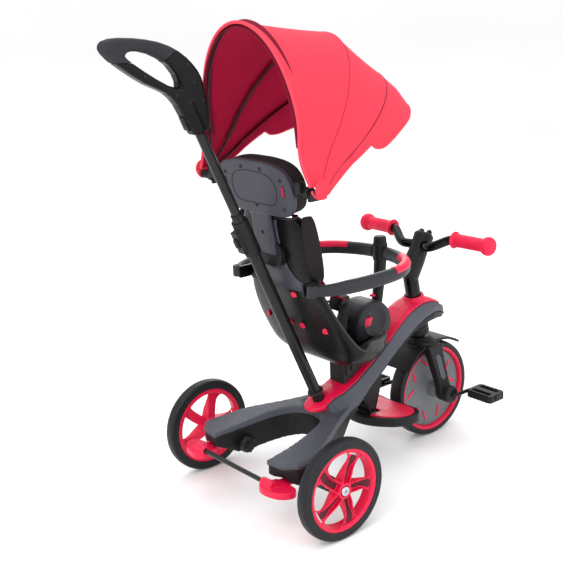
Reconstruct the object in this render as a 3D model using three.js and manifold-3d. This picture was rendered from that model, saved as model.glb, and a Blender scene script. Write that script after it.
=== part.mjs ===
// A children's tricycle with a push pole, a sliding bucket seat, a safety ring and a folding canopy.
// Millimetres. +X is forward, +Y is to the left, +Z is up. The wheels stand on z = 0.
// Shapes are drawn with x = 0 at the rear axle; the finished group is moved so that x = 0 is mid-length.
import * as THREE from "three";
import { mergeVertices } from "three/addons/utils/BufferGeometryUtils.js";
import Module from "manifold-3d";

const wasm = await Module();
wasm.setup();

// ---- Driving dimensions ----
const MID_LENGTH_X = 147; // from the rear axle to the middle of the object's length
const GAP = 0.35; // clearance between pieces that touch

const REAR_WHEEL = { radius: 107.5, width: 26.5, rimRadius: 87.5, centreY: 226.8, facets: 28 };
const FRONT_WHEEL = { radius: 119, width: 38, rimRadius: 104.5, x: 506.9, facets: 32 };
const REAR_AXLE_HEIGHT = REAR_WHEEL.radius;
const FRONT_AXLE_HEIGHT = FRONT_WHEEL.radius;

const STEERING_FOOT = vec(504, 0, 119); // the raked steering axis passes this point
const STEERING_LEAN = THREE.MathUtils.degToRad(11.2); // backwards from vertical

const POLE_FOOT = vec(144, 0, 202);
const POLE_LEAN = THREE.MathUtils.degToRad(24); // backwards from vertical
const LOWER_POLE_LENGTH = 488;
const UPPER_POLE_END = 688; // distance from the pole's foot to the handle's collar

const CRANK_REACH = 60;
const CRANK_ARM_Y = 85.3;
const PEDAL_Y = 129;

const RING_TOP = 506;
const CANOPY_PIVOT = vec(5, 0, 700);
const HEADREST_LEAN = THREE.MathUtils.degToRad(10); // backwards from vertical
const HEADREST_FOOT = vec(20, 0, 548); // back of the neck

// ---- Materials ----
function material(name, color, roughness, metalness = 0) {
  return new THREE.MeshStandardMaterial({ name, color, roughness, metalness });
}

const RED_PLASTIC = material("red_plastic", 0xe6124b, 0.42);
const GREY_PLASTIC = material("grey_plastic", 0x4a4d57, 0.6);
const BLACK_PLASTIC = material("black_plastic", 0x1b1b1e, 0.45);
const GLOSS_BLACK = material("gloss_black", 0x121214, 0.2);
const VIOLET_PLASTIC = material("violet_grey_plastic", 0x454450, 0.45);
const TYRE_FOAM = material("tyre_foam", 0x24262c, 0.65);
const DISC_GREY = material("disc_grey", 0x64696c, 0.6);
const RED_GRIP = material("red_grip_rubber", 0xe01345, 0.6);
const GRIP_FOAM = material("grip_foam", 0x3c3c40, 0.95);
const BLACK_STEEL = material("black_steel", 0x151516, 0.3, 0.6);
const BRIGHT_STEEL = material("bright_steel", 0xb8bbc0, 0.3, 1);
const CANOPY_FABRIC = material("canopy_fabric", 0xee4a5c, 0.85);
const PAD_FABRIC = material("pad_fabric", 0x2a2424, 0.9);

// ---- Basic shapes ----
function vec(x, y, z) {
  return new THREE.Vector3(x, y, z);
}

// A solid for joining and cutting; a mirrored or reversed skin is turned to face outwards first.
function toSolid(geometry) {
  const bare = (geometry.index ? geometry.toNonIndexed() : geometry).clone();
  bare.deleteAttribute("normal");
  bare.deleteAttribute("uv");
  const merged = mergeVertices(bare, 1e-3);
  const triangles = new Uint32Array(merged.index.array);
  if (skinVolume(merged) < 0) triangles.reverse();
  const mesh = new wasm.Mesh({
    numProp: 3,
    vertProperties: merged.attributes.position.array,
    triVerts: triangles,
  });
  return new wasm.Manifold(mesh);
}

function skinVolume(geometry) {
  const position = geometry.attributes.position;
  const index = geometry.index.array;
  const corners = [vec(0, 0, 0), vec(0, 0, 0), vec(0, 0, 0)];
  let volume = 0;
  for (let i = 0; i < index.length; i += 3) {
    corners.forEach((corner, k) => corner.fromBufferAttribute(position, index[i + k]));
    volume += corners[0].dot(corners[1].clone().cross(corners[2])) / 6;
  }
  return volume;
}

function toGeometry(solid) {
  const mesh = solid.getMesh();
  return new THREE.BufferGeometry()
    .setAttribute("position", new THREE.BufferAttribute(mesh.vertProperties, 3))
    .setIndex(new THREE.BufferAttribute(mesh.triVerts, 1));
}

function join(...geometries) {
  const [first, ...others] = geometries.map(toSolid);
  return toGeometry(others.reduce((whole, piece) => whole.add(piece), first));
}

function cut(body, ...tools) {
  return toGeometry(tools.map(toSolid).reduce((rest, tool) => rest.subtract(tool), toSolid(body)));
}

function common(first, second) {
  return toGeometry(toSolid(first).intersect(toSolid(second)));
}

function mirrored(geometry) {
  return geometry.clone().scale(1, -1, 1);
}

function box(low, high) {
  const size = high.clone().sub(low);
  const centre = low.clone().add(high).multiplyScalar(0.5);
  return new THREE.BoxGeometry(size.x, size.y, size.z).translate(centre.x, centre.y, centre.z);
}

// Places a shape drawn along +Y so that it runs from start towards end.
function aim(geometry, start, end) {
  const direction = end.clone().sub(start).normalize();
  const turn = new THREE.Quaternion().setFromUnitVectors(vec(0, 1, 0), direction);
  return geometry.applyQuaternion(turn).translate(start.x, start.y, start.z);
}

function rod(start, end, radius, sides = 16, endRadius = radius) {
  const length = start.distanceTo(end);
  const cylinder = new THREE.CylinderGeometry(endRadius, radius, length, sides);
  return aim(cylinder.translate(0, length / 2, 0), start, end);
}

// Turns a profile of [radius, distance] points round the line from start towards end.
function turned(profile, start, end, sides = 20) {
  const points = profile.map(([radius, distance]) => new THREE.Vector2(radius, distance));
  return aim(new THREE.LatheGeometry(points, sides), start, end);
}

// Turns a closed profile of [radius, y] points round a wheel's axle, with a flat facet at the bottom.
function wheelShape(profile, x, y, z, facets) {
  const points = profile.map(([radius, across]) => new THREE.Vector2(radius, across));
  return new THREE.LatheGeometry(points, facets, Math.PI / facets).translate(x, y, z);
}

function outline(points) {
  return new THREE.Shape(points.map(([a, b]) => new THREE.Vector2(a, b)));
}

function smoothOutline(points, count = 48) {
  const curve = new THREE.CatmullRomCurve3(points.map(([a, b]) => vec(a, b, 0)), true, "centripetal");
  return new THREE.Shape(curve.getPoints(count).slice(0, -1).map((p) => new THREE.Vector2(p.x, p.y)));
}

function extruded(shape, depth, basis) {
  const flat = new THREE.ExtrudeGeometry(shape, { depth, bevelEnabled: false, curveSegments: 12 });
  return flat.applyMatrix4(new THREE.Matrix4().makeBasis(...basis));
}

// A side view, drawn in X and Z, given width from y = right to y = left.
function sidePlate(shape, right, left) {
  return extruded(shape, left - right, [vec(1, 0, 0), vec(0, 0, 1), vec(0, -1, 0)]).translate(0, left, 0);
}

// A plan, drawn in X and Y, given height from z = bottom to z = top.
function planPlate(shape, bottom, top) {
  return extruded(shape, top - bottom, [vec(1, 0, 0), vec(0, 1, 0), vec(0, 0, 1)]).translate(0, 0, bottom);
}

// A back view, drawn in Y and Z, given depth from x = back to x = front.
function backPlate(shape, back, front) {
  return extruded(shape, front - back, [vec(0, 1, 0), vec(0, 0, 1), vec(1, 0, 0)]).translate(back, 0, 0);
}

// A round tube along a smooth curve through the points.
function tube(points, radius, steps, sides = 12, tension = 0.5) {
  const path = new THREE.CatmullRomCurve3(points, false, "catmullrom", tension);
  return sweep(circle(radius, sides), path, steps);
}

function circle(radius, sides) {
  const points = [];
  for (let i = 0; i < sides; i++) {
    const angle = (2 * Math.PI * (i + 0.5)) / sides;
    points.push([radius * Math.cos(angle), radius * Math.sin(angle)]);
  }
  return outline(points);
}

function sweep(section, path, steps) {
  return new THREE.ExtrudeGeometry(section, { steps, extrudePath: path, bevelEnabled: false });
}

// A closed skin through rings of points, every ring with the same number of corners.
function loft(rings) {
  const corners = rings[0].length;
  const geometry = new THREE.CylinderGeometry(1, 1, 1, corners, rings.length - 1);
  const position = geometry.attributes.position;
  let vertex = 0;
  for (const ring of rings) {
    for (let i = 0; i <= corners; i++) position.setXYZ(vertex++, ...ring[i % corners]);
  }
  for (const ring of [rings[0], rings.at(-1)]) {
    const centre = [0, 1, 2].map((axis) => ring.reduce((sum, point) => sum + point[axis], 0) / corners);
    for (let i = 0; i < corners; i++) position.setXYZ(vertex++, ...centre);
    for (let i = 0; i <= corners; i++) position.setXYZ(vertex++, ...ring[i % corners]);
  }
  return geometry;
}

// A thick curved sheet: place(across, along, depth) gives the point for fractions from 0 to 1.
function sheet(acrossSteps, alongSteps, place) {
  const geometry = new THREE.BoxGeometry(1, 1, 1, acrossSteps, alongSteps, 1);
  const position = geometry.attributes.position;
  for (let i = 0; i < position.count; i++) {
    const point = place(position.getX(i) + 0.5, position.getY(i) + 0.5, position.getZ(i) + 0.5);
    position.setXYZ(i, point.x, point.y, point.z);
  }
  return geometry;
}

// Reads a value between the rows of a table of [key, value] pairs.
function lookUp(table, key) {
  const last = table.length - 1;
  const next = Math.min(Math.max(table.findIndex((row) => row[0] >= key), 1), last);
  const upper = key > table[last][0] ? last : next;
  const [lowKey, lowValue] = table[upper - 1];
  const [highKey, highValue] = table[upper];
  const share = THREE.MathUtils.clamp((key - lowKey) / (highKey - lowKey), 0, 1);
  return lowValue + (highValue - lowValue) * share;
}

function alongSteering(height, sideways = 0, forward = 0) {
  const x = STEERING_FOOT.x - (height - STEERING_FOOT.z) * Math.tan(STEERING_LEAN);
  return vec(x + forward, sideways, height);
}

function alongPole(distance, behind = 0, sideways = 0) {
  const up = vec(-Math.sin(POLE_LEAN), 0, Math.cos(POLE_LEAN));
  const back = vec(-Math.cos(POLE_LEAN), 0, -Math.sin(POLE_LEAN));
  return POLE_FOOT.clone().addScaledVector(up, distance).addScaledVector(back, behind).setY(sideways);
}

// ---- The exported group ----
const tricycle = new THREE.Group();
tricycle.name = "tricycle";
tricycle.position.x = -MID_LENGTH_X;

function add(name, surface, geometry) {
  const mesh = new THREE.Mesh(toGeometry(toSolid(geometry)), surface);
  mesh.name = name;
  tricycle.add(mesh);
}

function addPair(name, surface, leftGeometry) {
  add(name + "_left", surface, leftGeometry);
  add(name + "_right", surface, mirrored(leftGeometry));
}

// ---- Frame: a beam that splits into two rear arms, as a lower shell and an upper cover ----
// Heights along the beam: [x, height].
const COVER_EDGE = [
  [-90, 149], [0, 157], [50, 165], [130, 173], [180, 178], [215, 182], [240, 194], [271, 215],
  [313, 244], [356, 277], [396, 303], [425, 321], [447, 334], [475, 340], [500, 339], [525, 326], [549, 303],
];
const RED_EDGE = [
  [114, 177], [130, 182], [146, 188], [165, 199], [196, 205], [218, 213], [243, 226], [291, 256], [340, 290], [373, 317],
  [405, 338], [430, 348], [455, 354], [485, 352], [510, 342], [533, 324],
];
const SPLIT_LINE = [
  [-90, 138], [0, 143], [130, 155], [180, 160], [226, 168], [271, 203], [313, 232], [356, 264],
  [396, 291], [447, 319], [475, 326], [500, 325], [525, 314], [549, 297],
];
const UNDERSIDE = [
  [-90, 126], [-45, 104], [-15, 88], [40, 88], [100, 96], [140, 106], [190, 140], [226, 158], [271, 192],
  [313, 221], [356, 253], [396, 278], [425, 292], [460, 302], [500, 304], [549, 292],
];
const BEAM_HALF_WIDTH = [
  [140, 60], [180, 58], [226, 50], [271, 47], [350, 45], [447, 46], [475, 45], [500, 40], [525, 30], [549, 13],
];
const BEAM_STATIONS = [
  146, 152, 165, 180, 196, 226, 243, 271, 291, 313, 340, 373, 405, 430, 455, 485, 510, 525, 533, 549,
];

// Half of the arms' plan, from the middle of the beam round the left arm to the crotch.
const ARM_OUTER = [[205, 50], [180, 62], [123, 89], [48, 132], [0, 149], [-50, 158]];
const ARM_END = [[-72, 136], [-78, 90]];
const ARM_INNER = [[-20, 85], [35, 77], [80, 66], [110, 48], [126, 26], [131, 0]];

function armPlan(inset) {
  const outer = new THREE.CatmullRomCurve3(ARM_OUTER.map(([x, y]) => vec(x, y - inset, 0)));
  const inner = new THREE.CatmullRomCurve3(
    ARM_INNER.map(([x, y]) => vec(x + (y < 30 ? inset : 0), y + (y < 30 ? 0 : inset), 0)),
  );
  const end = ARM_END.map(([x, y]) => vec(x + inset, y, 0));
  const left = [...outer.getPoints(10), ...end, ...inner.getPoints(9)].map((p) => [p.x, p.y]);
  const right = left.slice(0, -1).reverse().map(([x, y]) => [x, -y]);
  return outline([...left, ...right]);
}

function band(topTable, bottomTable, from, to, topDrop, bottomRise, step = 25) {
  const upper = [];
  const lower = [];
  for (let x = from; x < to + step; x += step) {
    const at = Math.min(x, to);
    upper.push([at, lookUp(topTable, at) - topDrop]);
    lower.unshift([at, lookUp(bottomTable, at) + bottomRise]);
  }
  return outline([...upper, ...lower]);
}

// The flat top of the upper cover, which carries the red cover.
function coverTop(x) {
  const edge = lookUp(COVER_EDGE, x);
  return Math.max(Math.min(lookUp(RED_EDGE, x) - 2, edge + 28), edge + 1);
}

function beamRing(x, halfWidth, bottom, edge, shoulder, top) {
  return [
    [x, -halfWidth, bottom], [x, -halfWidth, edge], [x, -shoulder, top],
    [x, shoulder, top], [x, halfWidth, edge], [x, halfWidth, bottom],
  ];
}

const columnHole = rod(alongSteering(280), alongSteering(400), 19.2, 20);
const headTubeHole = rod(alongSteering(240), alongSteering(345), 25.4, 20);
const poleSocket = rod(alongPole(-24), alongPole(60), 13.3, 16);

function upperCover() {
  const rings = BEAM_STATIONS.map((x) => {
    const halfWidth = lookUp(BEAM_HALF_WIDTH, x);
    const shoulder = Math.min(37, halfWidth - 4);
    const bottom = lookUp(SPLIT_LINE, x) + GAP;
    return beamRing(x, halfWidth, bottom, lookUp(COVER_EDGE, x), shoulder, coverTop(x));
  });
  const arms = common(
    planPlate(armPlan(0), 60, 260),
    sidePlate(band(COVER_EDGE, SPLIT_LINE, -90, 205, 0, GAP), -200, 200),
  );
  return cut(join(loft(rings), arms), columnHole, headTubeHole, poleSocket);
}

function lowerShell() {
  const rings = BEAM_STATIONS.map((x) => {
    const halfWidth = lookUp(BEAM_HALF_WIDTH, x) - 3;
    const bottom = lookUp(UNDERSIDE, x);
    const split = lookUp(SPLIT_LINE, x);
    return [
      [x, -halfWidth * 0.8, bottom], [x, -halfWidth, bottom + 5], [x, -halfWidth, split],
      [x, halfWidth, split], [x, halfWidth, bottom + 5], [x, halfWidth * 0.8, bottom],
    ];
  });
  const arms = common(
    planPlate(armPlan(3), 60, 260),
    sidePlate(band(SPLIT_LINE, UNDERSIDE, -90, 205, 0, 0), -200, 200),
  );
  const underbodyCap = turned(
    [[0, 0], [15, 0], [17, 5], [17, 40], [0, 40]], vec(196, 0, 108), vec(196, 0, 200), 16,
  );
  const axleHoles = [-1, 1].map((side) =>
    rod(vec(0, side * 60, REAR_AXLE_HEIGHT), vec(0, side * 215, REAR_AXLE_HEIGHT), 6.5, 12),
  );
  const brakeSlots = [-1, 1].map((side) =>
    box(vec(-100, side * 124 - 16, 100), vec(-22, side * 124 + 16, 121)),
  );
  const bosses = [-1, 1].map((side) =>
    rod(vec(0, side * 140, REAR_AXLE_HEIGHT), vec(0, side * 206, REAR_AXLE_HEIGHT), 19, 16, 16),
  );
  const body = join(loft(rings), arms, underbodyCap, ...bosses);
  return cut(body, headTubeHole, poleSocket, ...axleHoles, ...brakeSlots);
}

function beamCover() {
  const halfWidths = [
    [114, 6], [117, 14], [122, 21], [132, 28], [146, 32], [165, 34], [196, 35], [405, 35.5], [485, 35], [510, 31],
    [525, 22], [533, 10],
  ];
  const stepX = BEAM_STATIONS[0] - GAP; // behind this the cover lies on the arms, which are lower
  const armStations = [114, 117, 122, 132, stepX];
  const beamStations = [stepX, ...BEAM_STATIONS.slice(1).filter((x) => x <= 533)];
  const rings = [...armStations, ...beamStations].map((x, i) => {
    const half = lookUp(halfWidths, x);
    const onArms = i < armStations.length;
    const base = (onArms ? lookUp(COVER_EDGE, x) : Math.max(coverTop(x), coverTop(BEAM_STATIONS[0]))) + GAP;
    const edge = Math.max(lookUp(RED_EDGE, x), base + 1);
    const crown = edge + 7 * Math.min(1, half / 35);
    return [
      [x, -half, base], [x, -half, edge + 1], [x, -half * 0.6, crown - 1.5], [x, 0, crown],
      [x, half * 0.6, crown - 1.5], [x, half, edge + 1], [x, half, base],
    ];
  });
  const collar = rod(alongSteering(353), alongSteering(367), 27, 20, 24);
  return cut(join(loft(rings), collar), columnHole, poleSocket);
}

add("frame_upper_cover", GREY_PLASTIC, upperCover());
add("frame_lower_shell", BLACK_PLASTIC, lowerShell());
add("beam_cover", RED_PLASTIC, beamCover());

// ---- Head tube and its bush ----
const HEAD_TUBE_FOOT = alongSteering(267);
const STEERING_UP = alongSteering(500);

add(
  "head_tube", BLACK_PLASTIC,
  turned(
    [[17, 0], [24, 0], [24.8, 6], [24.8, 68], [17, 68], [17, 0]], HEAD_TUBE_FOOT, STEERING_UP, 20,
  ),
);
add(
  "headset_bush", BRIGHT_STEEL,
  turned([[13.4, 2], [16.6, 2], [16.6, 66], [13.4, 66], [13.4, 2]], HEAD_TUBE_FOOT, STEERING_UP, 16),
);

// ---- Rear wheels: foam tyre, five-spoke rim, axle bolt and inner cap ----
function tyreProfile(wheel) {
  const outer = wheel.radius / Math.cos(Math.PI / wheel.facets);
  const inner = wheel.rimRadius + GAP;
  const half = wheel.width / 2;
  return [
    [inner, -half], [outer - 10, -half], [outer - 3, -half + 4], [outer, -half + 9],
    [outer, half - 9], [outer - 3, half - 4], [outer - 10, half], [inner, half], [inner, -half],
  ];
}

function spoke(index, x, y, z) {
  const angle = (2 * Math.PI * index) / 5 + Math.PI / 10;
  const rings = [[10, 13, 11, 14], [30, 12, 3, 13], [55, 10, -4, 9], [80, 14, -10, 9]].map(
    ([radius, halfWidth, inside, outside]) => {
      const centre = vec(Math.sin(angle), 0, Math.cos(angle)).multiplyScalar(radius);
      const side = vec(Math.cos(angle), 0, -Math.sin(angle)).multiplyScalar(halfWidth);
      const corner = (sign, across) => [
        x + centre.x + sign * side.x, y + across, z + centre.z + sign * side.z,
      ];
      return [corner(-1, -inside), corner(1, -inside), corner(1, outside), corner(-1, outside)];
    },
  );
  return loft(rings);
}

function rearRim() {
  const { rimRadius, centreY, facets } = REAR_WHEEL;
  const z = REAR_AXLE_HEIGHT;
  const band = wheelShape(
    [[77, -12.5], [rimRadius, -12.5], [rimRadius, 12.5], [79, 12.5], [77, -12.5]],
    0, centreY, z, facets,
  );
  const hub = rod(vec(0, centreY - 18, z), vec(0, centreY + 15, z), 17, 14);
  const spokes = [0, 1, 2, 3, 4].map((index) => spoke(index, 0, centreY, z));
  const bore = rod(vec(0, centreY - 40, z), vec(0, centreY + 40, z), 6.5, 12);
  const boltRecess = rod(vec(0, centreY + 9, z), vec(0, centreY + 40, z), 12, 14);
  return cut(join(band, hub, ...spokes), bore, boltRecess);
}

function rearAxle() {
  const z = REAR_AXLE_HEIGHT;
  return turned(
    [[0, 0], [6, 0], [6, 163.6], [11, 163.6], [11, 168], [8.5, 171], [0, 171]],
    vec(0, 72.6, z), vec(0, 300, z), 12,
  );
}

function axleCap() {
  const z = REAR_AXLE_HEIGHT;
  const cap = turned([[0, 0], [17, 0], [20, 4], [20, 14], [0, 14]], vec(0, 66, z), vec(0, 200, z), 18);
  const ribs = [0, 1, 2].map((index) => {
    const rib = box(vec(-1.6, 62, -18), vec(1.6, 70, 18));
    return rib.rotateY((index * Math.PI) / 3).translate(0, 0, z);
  });
  const bore = rod(vec(0, 72.2, z), vec(0, 200, z), 6.5, 12);
  return cut(join(cap, ...ribs), bore);
}

const rearTyre = wheelShape(tyreProfile(REAR_WHEEL), 0, REAR_WHEEL.centreY, REAR_AXLE_HEIGHT, REAR_WHEEL.facets);
addPair("rear_tyre", TYRE_FOAM, rearTyre);
addPair("rear_rim", RED_PLASTIC, rearRim());
addPair("rear_axle_bolt", BRIGHT_STEEL, rearAxle());
addPair("axle_cap", BLACK_PLASTIC, axleCap());

// ---- Front wheel: foam tyre, red rim band, grey disc, crank and pedals ----
const FRONT_AXLE = vec(FRONT_WHEEL.x, 0, FRONT_AXLE_HEIGHT);

add(
  "front_tyre", TYRE_FOAM,
  wheelShape(tyreProfile(FRONT_WHEEL), FRONT_AXLE.x, 0, FRONT_AXLE.z, FRONT_WHEEL.facets),
);
add(
  "front_rim", RED_PLASTIC,
  wheelShape(
    [[96, -12], [104.5, -17], [104.5, 17], [96, 12], [96, -12]],
    FRONT_AXLE.x, 0, FRONT_AXLE.z, FRONT_WHEEL.facets,
  ),
);

function frontDisc() {
  const radius = 95;
  const disc = turned(
    [[0, 0], [20, 0], [20, 28], [44, 31], [radius, 29], [radius, 47], [44, 45], [20, 48], [20, 76], [0, 76]],
    vec(FRONT_AXLE.x, -38, FRONT_AXLE.z), vec(FRONT_AXLE.x, 200, FRONT_AXLE.z), 30,
  );
  const bore = rod(vec(FRONT_AXLE.x, -60, FRONT_AXLE.z), vec(FRONT_AXLE.x, 60, FRONT_AXLE.z), 5, 10);
  return cut(disc, bore);
}

add("front_disc", DISC_GREY, frontDisc());

function crank() {
  const { x, z } = FRONT_AXLE;
  const half = [[0, 0], [0, CRANK_ARM_Y], [CRANK_REACH, CRANK_ARM_Y], [CRANK_REACH, 164]];
  const right = half.map(([forward, out]) => vec(x + forward, -out, z)).reverse();
  const left = half.slice(1).map(([forward, out]) => vec(x - forward, out, z));
  return straightPieces([...right, ...left], 4.5);
}

// Straight rods joined by balls at their corners.
function straightPieces(points, radius, sides = 8) {
  const rods = points.slice(1).map((point, i) => rod(points[i], point, radius, sides));
  const balls = points
    .slice(1, -1)
    .map((point) => new THREE.SphereGeometry(radius, sides, 5).translate(point.x, point.y, point.z));
  return join(...rods, ...balls);
}

add("pedal_crank", BLACK_STEEL, crank());

function pedal(x, y) {
  const { z } = FRONT_AXLE;
  const frame = planPlate(
    outline([[-27, -31], [-22, -37], [22, -37], [27, -31], [27, 31], [22, 37], [-22, 37], [-27, 31]]), -9, 9,
  );
  const windows = [-1, 1].map((side) =>
    planPlate(outline([[side * 8, -28], [side * 20, -26], [side * 20, 26], [side * 8, 28]]), -20, 20),
  );
  const bore = rod(vec(0, -50, 0), vec(0, 50, 0), 5, 10);
  return cut(frame, ...windows, bore).translate(x, y, z);
}

add("pedal_left", BLACK_PLASTIC, pedal(FRONT_AXLE.x - CRANK_REACH, PEDAL_Y));
add("pedal_right", BLACK_PLASTIC, pedal(FRONT_AXLE.x + CRANK_REACH, -PEDAL_Y));

// ---- Fork: crown, mudguard, two legs with slots, inserts and hub caps ----
const LEG_TOP = { y: 38, z: 238 };
const HUB_FACE_Y = 63;
const LEG_FOOT = { y: 55, z: FRONT_AXLE_HEIGHT };

function legPoint(share, along, out) {
  const z = LEG_TOP.z + (LEG_FOOT.z - LEG_TOP.z) * share;
  const y = LEG_TOP.y + (LEG_FOOT.y - LEG_TOP.y) * share;
  const base = alongSteering(z);
  return [base.x + along, y + out, z];
}

function forkLeg() {
  const ring = (share, half, thick) => [
    legPoint(share, -half, -thick), legPoint(share, half, -thick),
    legPoint(share, half, thick), legPoint(share, -half, thick),
  ];
  const blade = loft([ring(-0.06, 24, 13), ring(0.25, 20, 11), ring(0.7, 17, 10.5), ring(1, 19, 8)]);
  const boss = rod(vec(FRONT_AXLE.x, 43, FRONT_AXLE.z), vec(FRONT_AXLE.x, HUB_FACE_Y, FRONT_AXLE.z), 21, 18);
  return join(blade, boss);
}

function insertShape(grow, from, to) {
  const ring = (share, half) => [
    legPoint(share, -half, from), legPoint(share, half, from),
    legPoint(share, half, to), legPoint(share, -half, to),
  ];
  return loft([ring(0.14, 3), ring(0.2, 8 + grow), ring(0.62, 8 + grow), ring(0.68, 3)]);
}

function fork() {
  const { x, z } = FRONT_AXLE;
  const arc = (from, to, inner, outer, half) => {
    const shape = new THREE.Shape();
    const start = THREE.MathUtils.degToRad(from);
    const end = THREE.MathUtils.degToRad(to);
    shape.absarc(x, z, outer, start, end, false);
    shape.absarc(x, z, inner, end, start, true);
    return sidePlate(shape, -half, half);
  };
  const mudguard = arc(56, 145, 127, 132.5, 36);
  const crown = loft(
    [[242, 46, 30], [250, 44, 34], [256, 32, 28], [261, 25, 25]].map(([height, halfY, halfX]) =>
      crownRing(height, halfX, halfY),
    ),
  );
  const legs = [forkLeg(), mirrored(forkLeg())];
  const wheelRoom = rod(vec(x, -60, z), vec(x, 60, z), 124.5, 24);
  const wheelSlot = common(wheelRoom, box(vec(300, -26, 0), vec(640, 26, 300)));
  const spindle = rod(vec(x, -90, z), vec(x, 90, z), 5, 10);
  const steerer = rod(alongSteering(220), alongSteering(300), 13.5, 20);
  const pockets = [insertShape(0.4, 6.6, 20), mirrored(insertShape(0.4, 6.6, 20))];
  return cut(join(mudguard, crown, ...legs), wheelSlot, spindle, steerer, ...pockets);
}

function crownRing(height, halfX, halfY) {
  const points = [];
  for (let i = 0; i < 12; i++) {
    const angle = (2 * Math.PI * (i + 0.5)) / 12;
    points.push(alongSteering(height, halfY * Math.sin(angle), halfX * Math.cos(angle)).toArray());
  }
  return points;
}

add("fork", BLACK_PLASTIC, fork());
addPair("fork_insert", GREY_PLASTIC, insertShape(0, 7, 11.8));
addPair(
  "hub_cap", BLACK_PLASTIC,
  turned(
    [[5, 0], [21, 0], [21, 12], [18, 16], [5, 16], [5, 0]],
    vec(FRONT_AXLE.x, HUB_FACE_Y + GAP, FRONT_AXLE.z), vec(FRONT_AXLE.x, 300, FRONT_AXLE.z), 18,
  ),
);

// ---- Steering column, stem and handlebar ----
const STEM_FOOT = vec(443, 0, 421);
const STEM_TOP = vec(496, 0, 508);
const BAR_CENTRE = STEM_FOOT.clone().lerp(STEM_TOP, 0.7);

function steeringColumn() {
  const up = 1 / Math.cos(STEERING_LEAN);
  return turned(
    [[0, 0], [13, 0], [13, 112 * up], [18, 112 * up], [18, 168 * up], [16, 172 * up], [0, 172 * up]],
    alongSteering(246), STEERING_UP, 20,
  );
}

const BAR_HALF = [
  BAR_CENTRE.clone(), vec(474, 20, 484), vec(465, 40, 486), vec(472, 60, 494), vec(486, 84, 506),
  vec(490, 100, 508), vec(493, 150, 507.5), vec(496, 196, 507),
];

function bar(grow) {
  const right = BAR_HALF.slice(1).map((p) => p.clone().setY(-p.y)).reverse();
  return tube([...right, ...BAR_HALF], 11 + grow, 20, 10);
}

function stem() {
  const length = STEM_FOOT.distanceTo(STEM_TOP);
  const body = turned(
    [[0, -14], [20, -14], [24, -4], [24, 34], [22, 62], [24, length - 6], [20, length], [0, length]],
    STEM_FOOT, STEM_TOP, 16,
  );
  const clampBolts = [-12, 12].map((side) => {
    const foot = STEM_TOP.clone().setY(side);
    return turned([[0, -8], [7, -8], [7, 6], [5, 8], [0, 8]], foot, foot.clone().add(vec(53, 0, 87)), 8);
  });
  const columnRoom = rod(alongSteering(330), alongSteering(418.5), 18.4, 20);
  return cut(join(body, ...clampBolts), bar(GAP), columnRoom);
}

add("steering_column", BLACK_STEEL, steeringColumn());
add("handlebar_stem", BLACK_PLASTIC, stem());
add("handlebar", BLACK_STEEL, bar(0));

function grip() {
  const inner = vec(489.6, 95, 508);
  const outer = vec(496, 199, 507);
  const profile = [
    [0, 0], [19, 0], [20, 2.5], [19, 5], [15.3, 8],
    [15.3, 82], [20, 87], [21.5, 94], [20, 102], [14, 106], [0, 106],
  ];
  return cut(turned(profile, inner, outer, 14), bar(GAP));
}

addPair("grip", RED_GRIP, grip());

// ---- Rear brake: two red foot pedals on one cross rod ----
const BRAKE_ROD = vec(-96, 0, 113);

function brakePedal() {
  const plan = smoothOutline(
    [
      [-64, 106], [-84, 100], [-104, 97], [-114, 112], [-113, 140], [-104, 162], [-84, 176], [-68, 170],
      [-62, 140],
    ],
    28,
  );
  const paddle = planPlate(plan, 96, 110);
  const housing = rod(vec(BRAKE_ROD.x, 98, BRAKE_ROD.z), vec(BRAKE_ROD.x, 134, BRAKE_ROD.z), 10, 20);
  const arm = box(vec(-90, 112, 101.5), vec(-24, 136, 111));
  const bore = rod(vec(BRAKE_ROD.x, 80, BRAKE_ROD.z), vec(BRAKE_ROD.x, 128, BRAKE_ROD.z), 5.65, 16);
  return cut(join(paddle, housing, arm), bore);
}

addPair("brake_pedal", RED_PLASTIC, brakePedal());
add(
  "brake_rod", BLACK_STEEL,
  rod(BRAKE_ROD.clone().setY(-127.5), BRAKE_ROD.clone().setY(127.5), 5.3, 16),
);

// ---- Footrest: one wide plate hinged on a bracket under the beam ----
const FOOTREST_HINGE = vec(290, 0, 136);

function footrestPlan(inset) {
  const half = [
    [258, 0], [264, 34], [283, 66], [306, 90], [338, 103], [366, 100], [382, 80], [381, 40], [378, 0],
  ];
  const shrink = (value, middle, reach) => middle + ((value - middle) * (reach - inset)) / reach;
  const left = half.map(([x, y]) => [shrink(x, 325, 62), shrink(y, 0, 104)]);
  const right = left.slice(1, -1).reverse().map(([x, y]) => [x, -y]);
  return smoothOutline([...left, ...right], 40);
}

function footrestTray() {
  const hinge = rod(FOOTREST_HINGE.clone().setY(-16), FOOTREST_HINGE.clone().setY(16), 9, 20);
  const lug = box(vec(283, -16, 112), vec(297, 16, 136));
  const recess = planPlate(footrestPlan(9), 119, 140);
  const pin = rod(FOOTREST_HINGE.clone().setY(-50), FOOTREST_HINGE.clone().setY(50), 5.35, 16);
  const plate = cut(planPlate(footrestPlan(0), 101, 123), recess);
  return cut(join(plate, hinge, lug), pin);
}

function footrestPad() {
  const lugRoom = box(vec(262, -32, 100), vec(312, 32, 160));
  return cut(planPlate(footrestPlan(9.6), 119 + GAP, 124.5), lugRoom);
}

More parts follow.
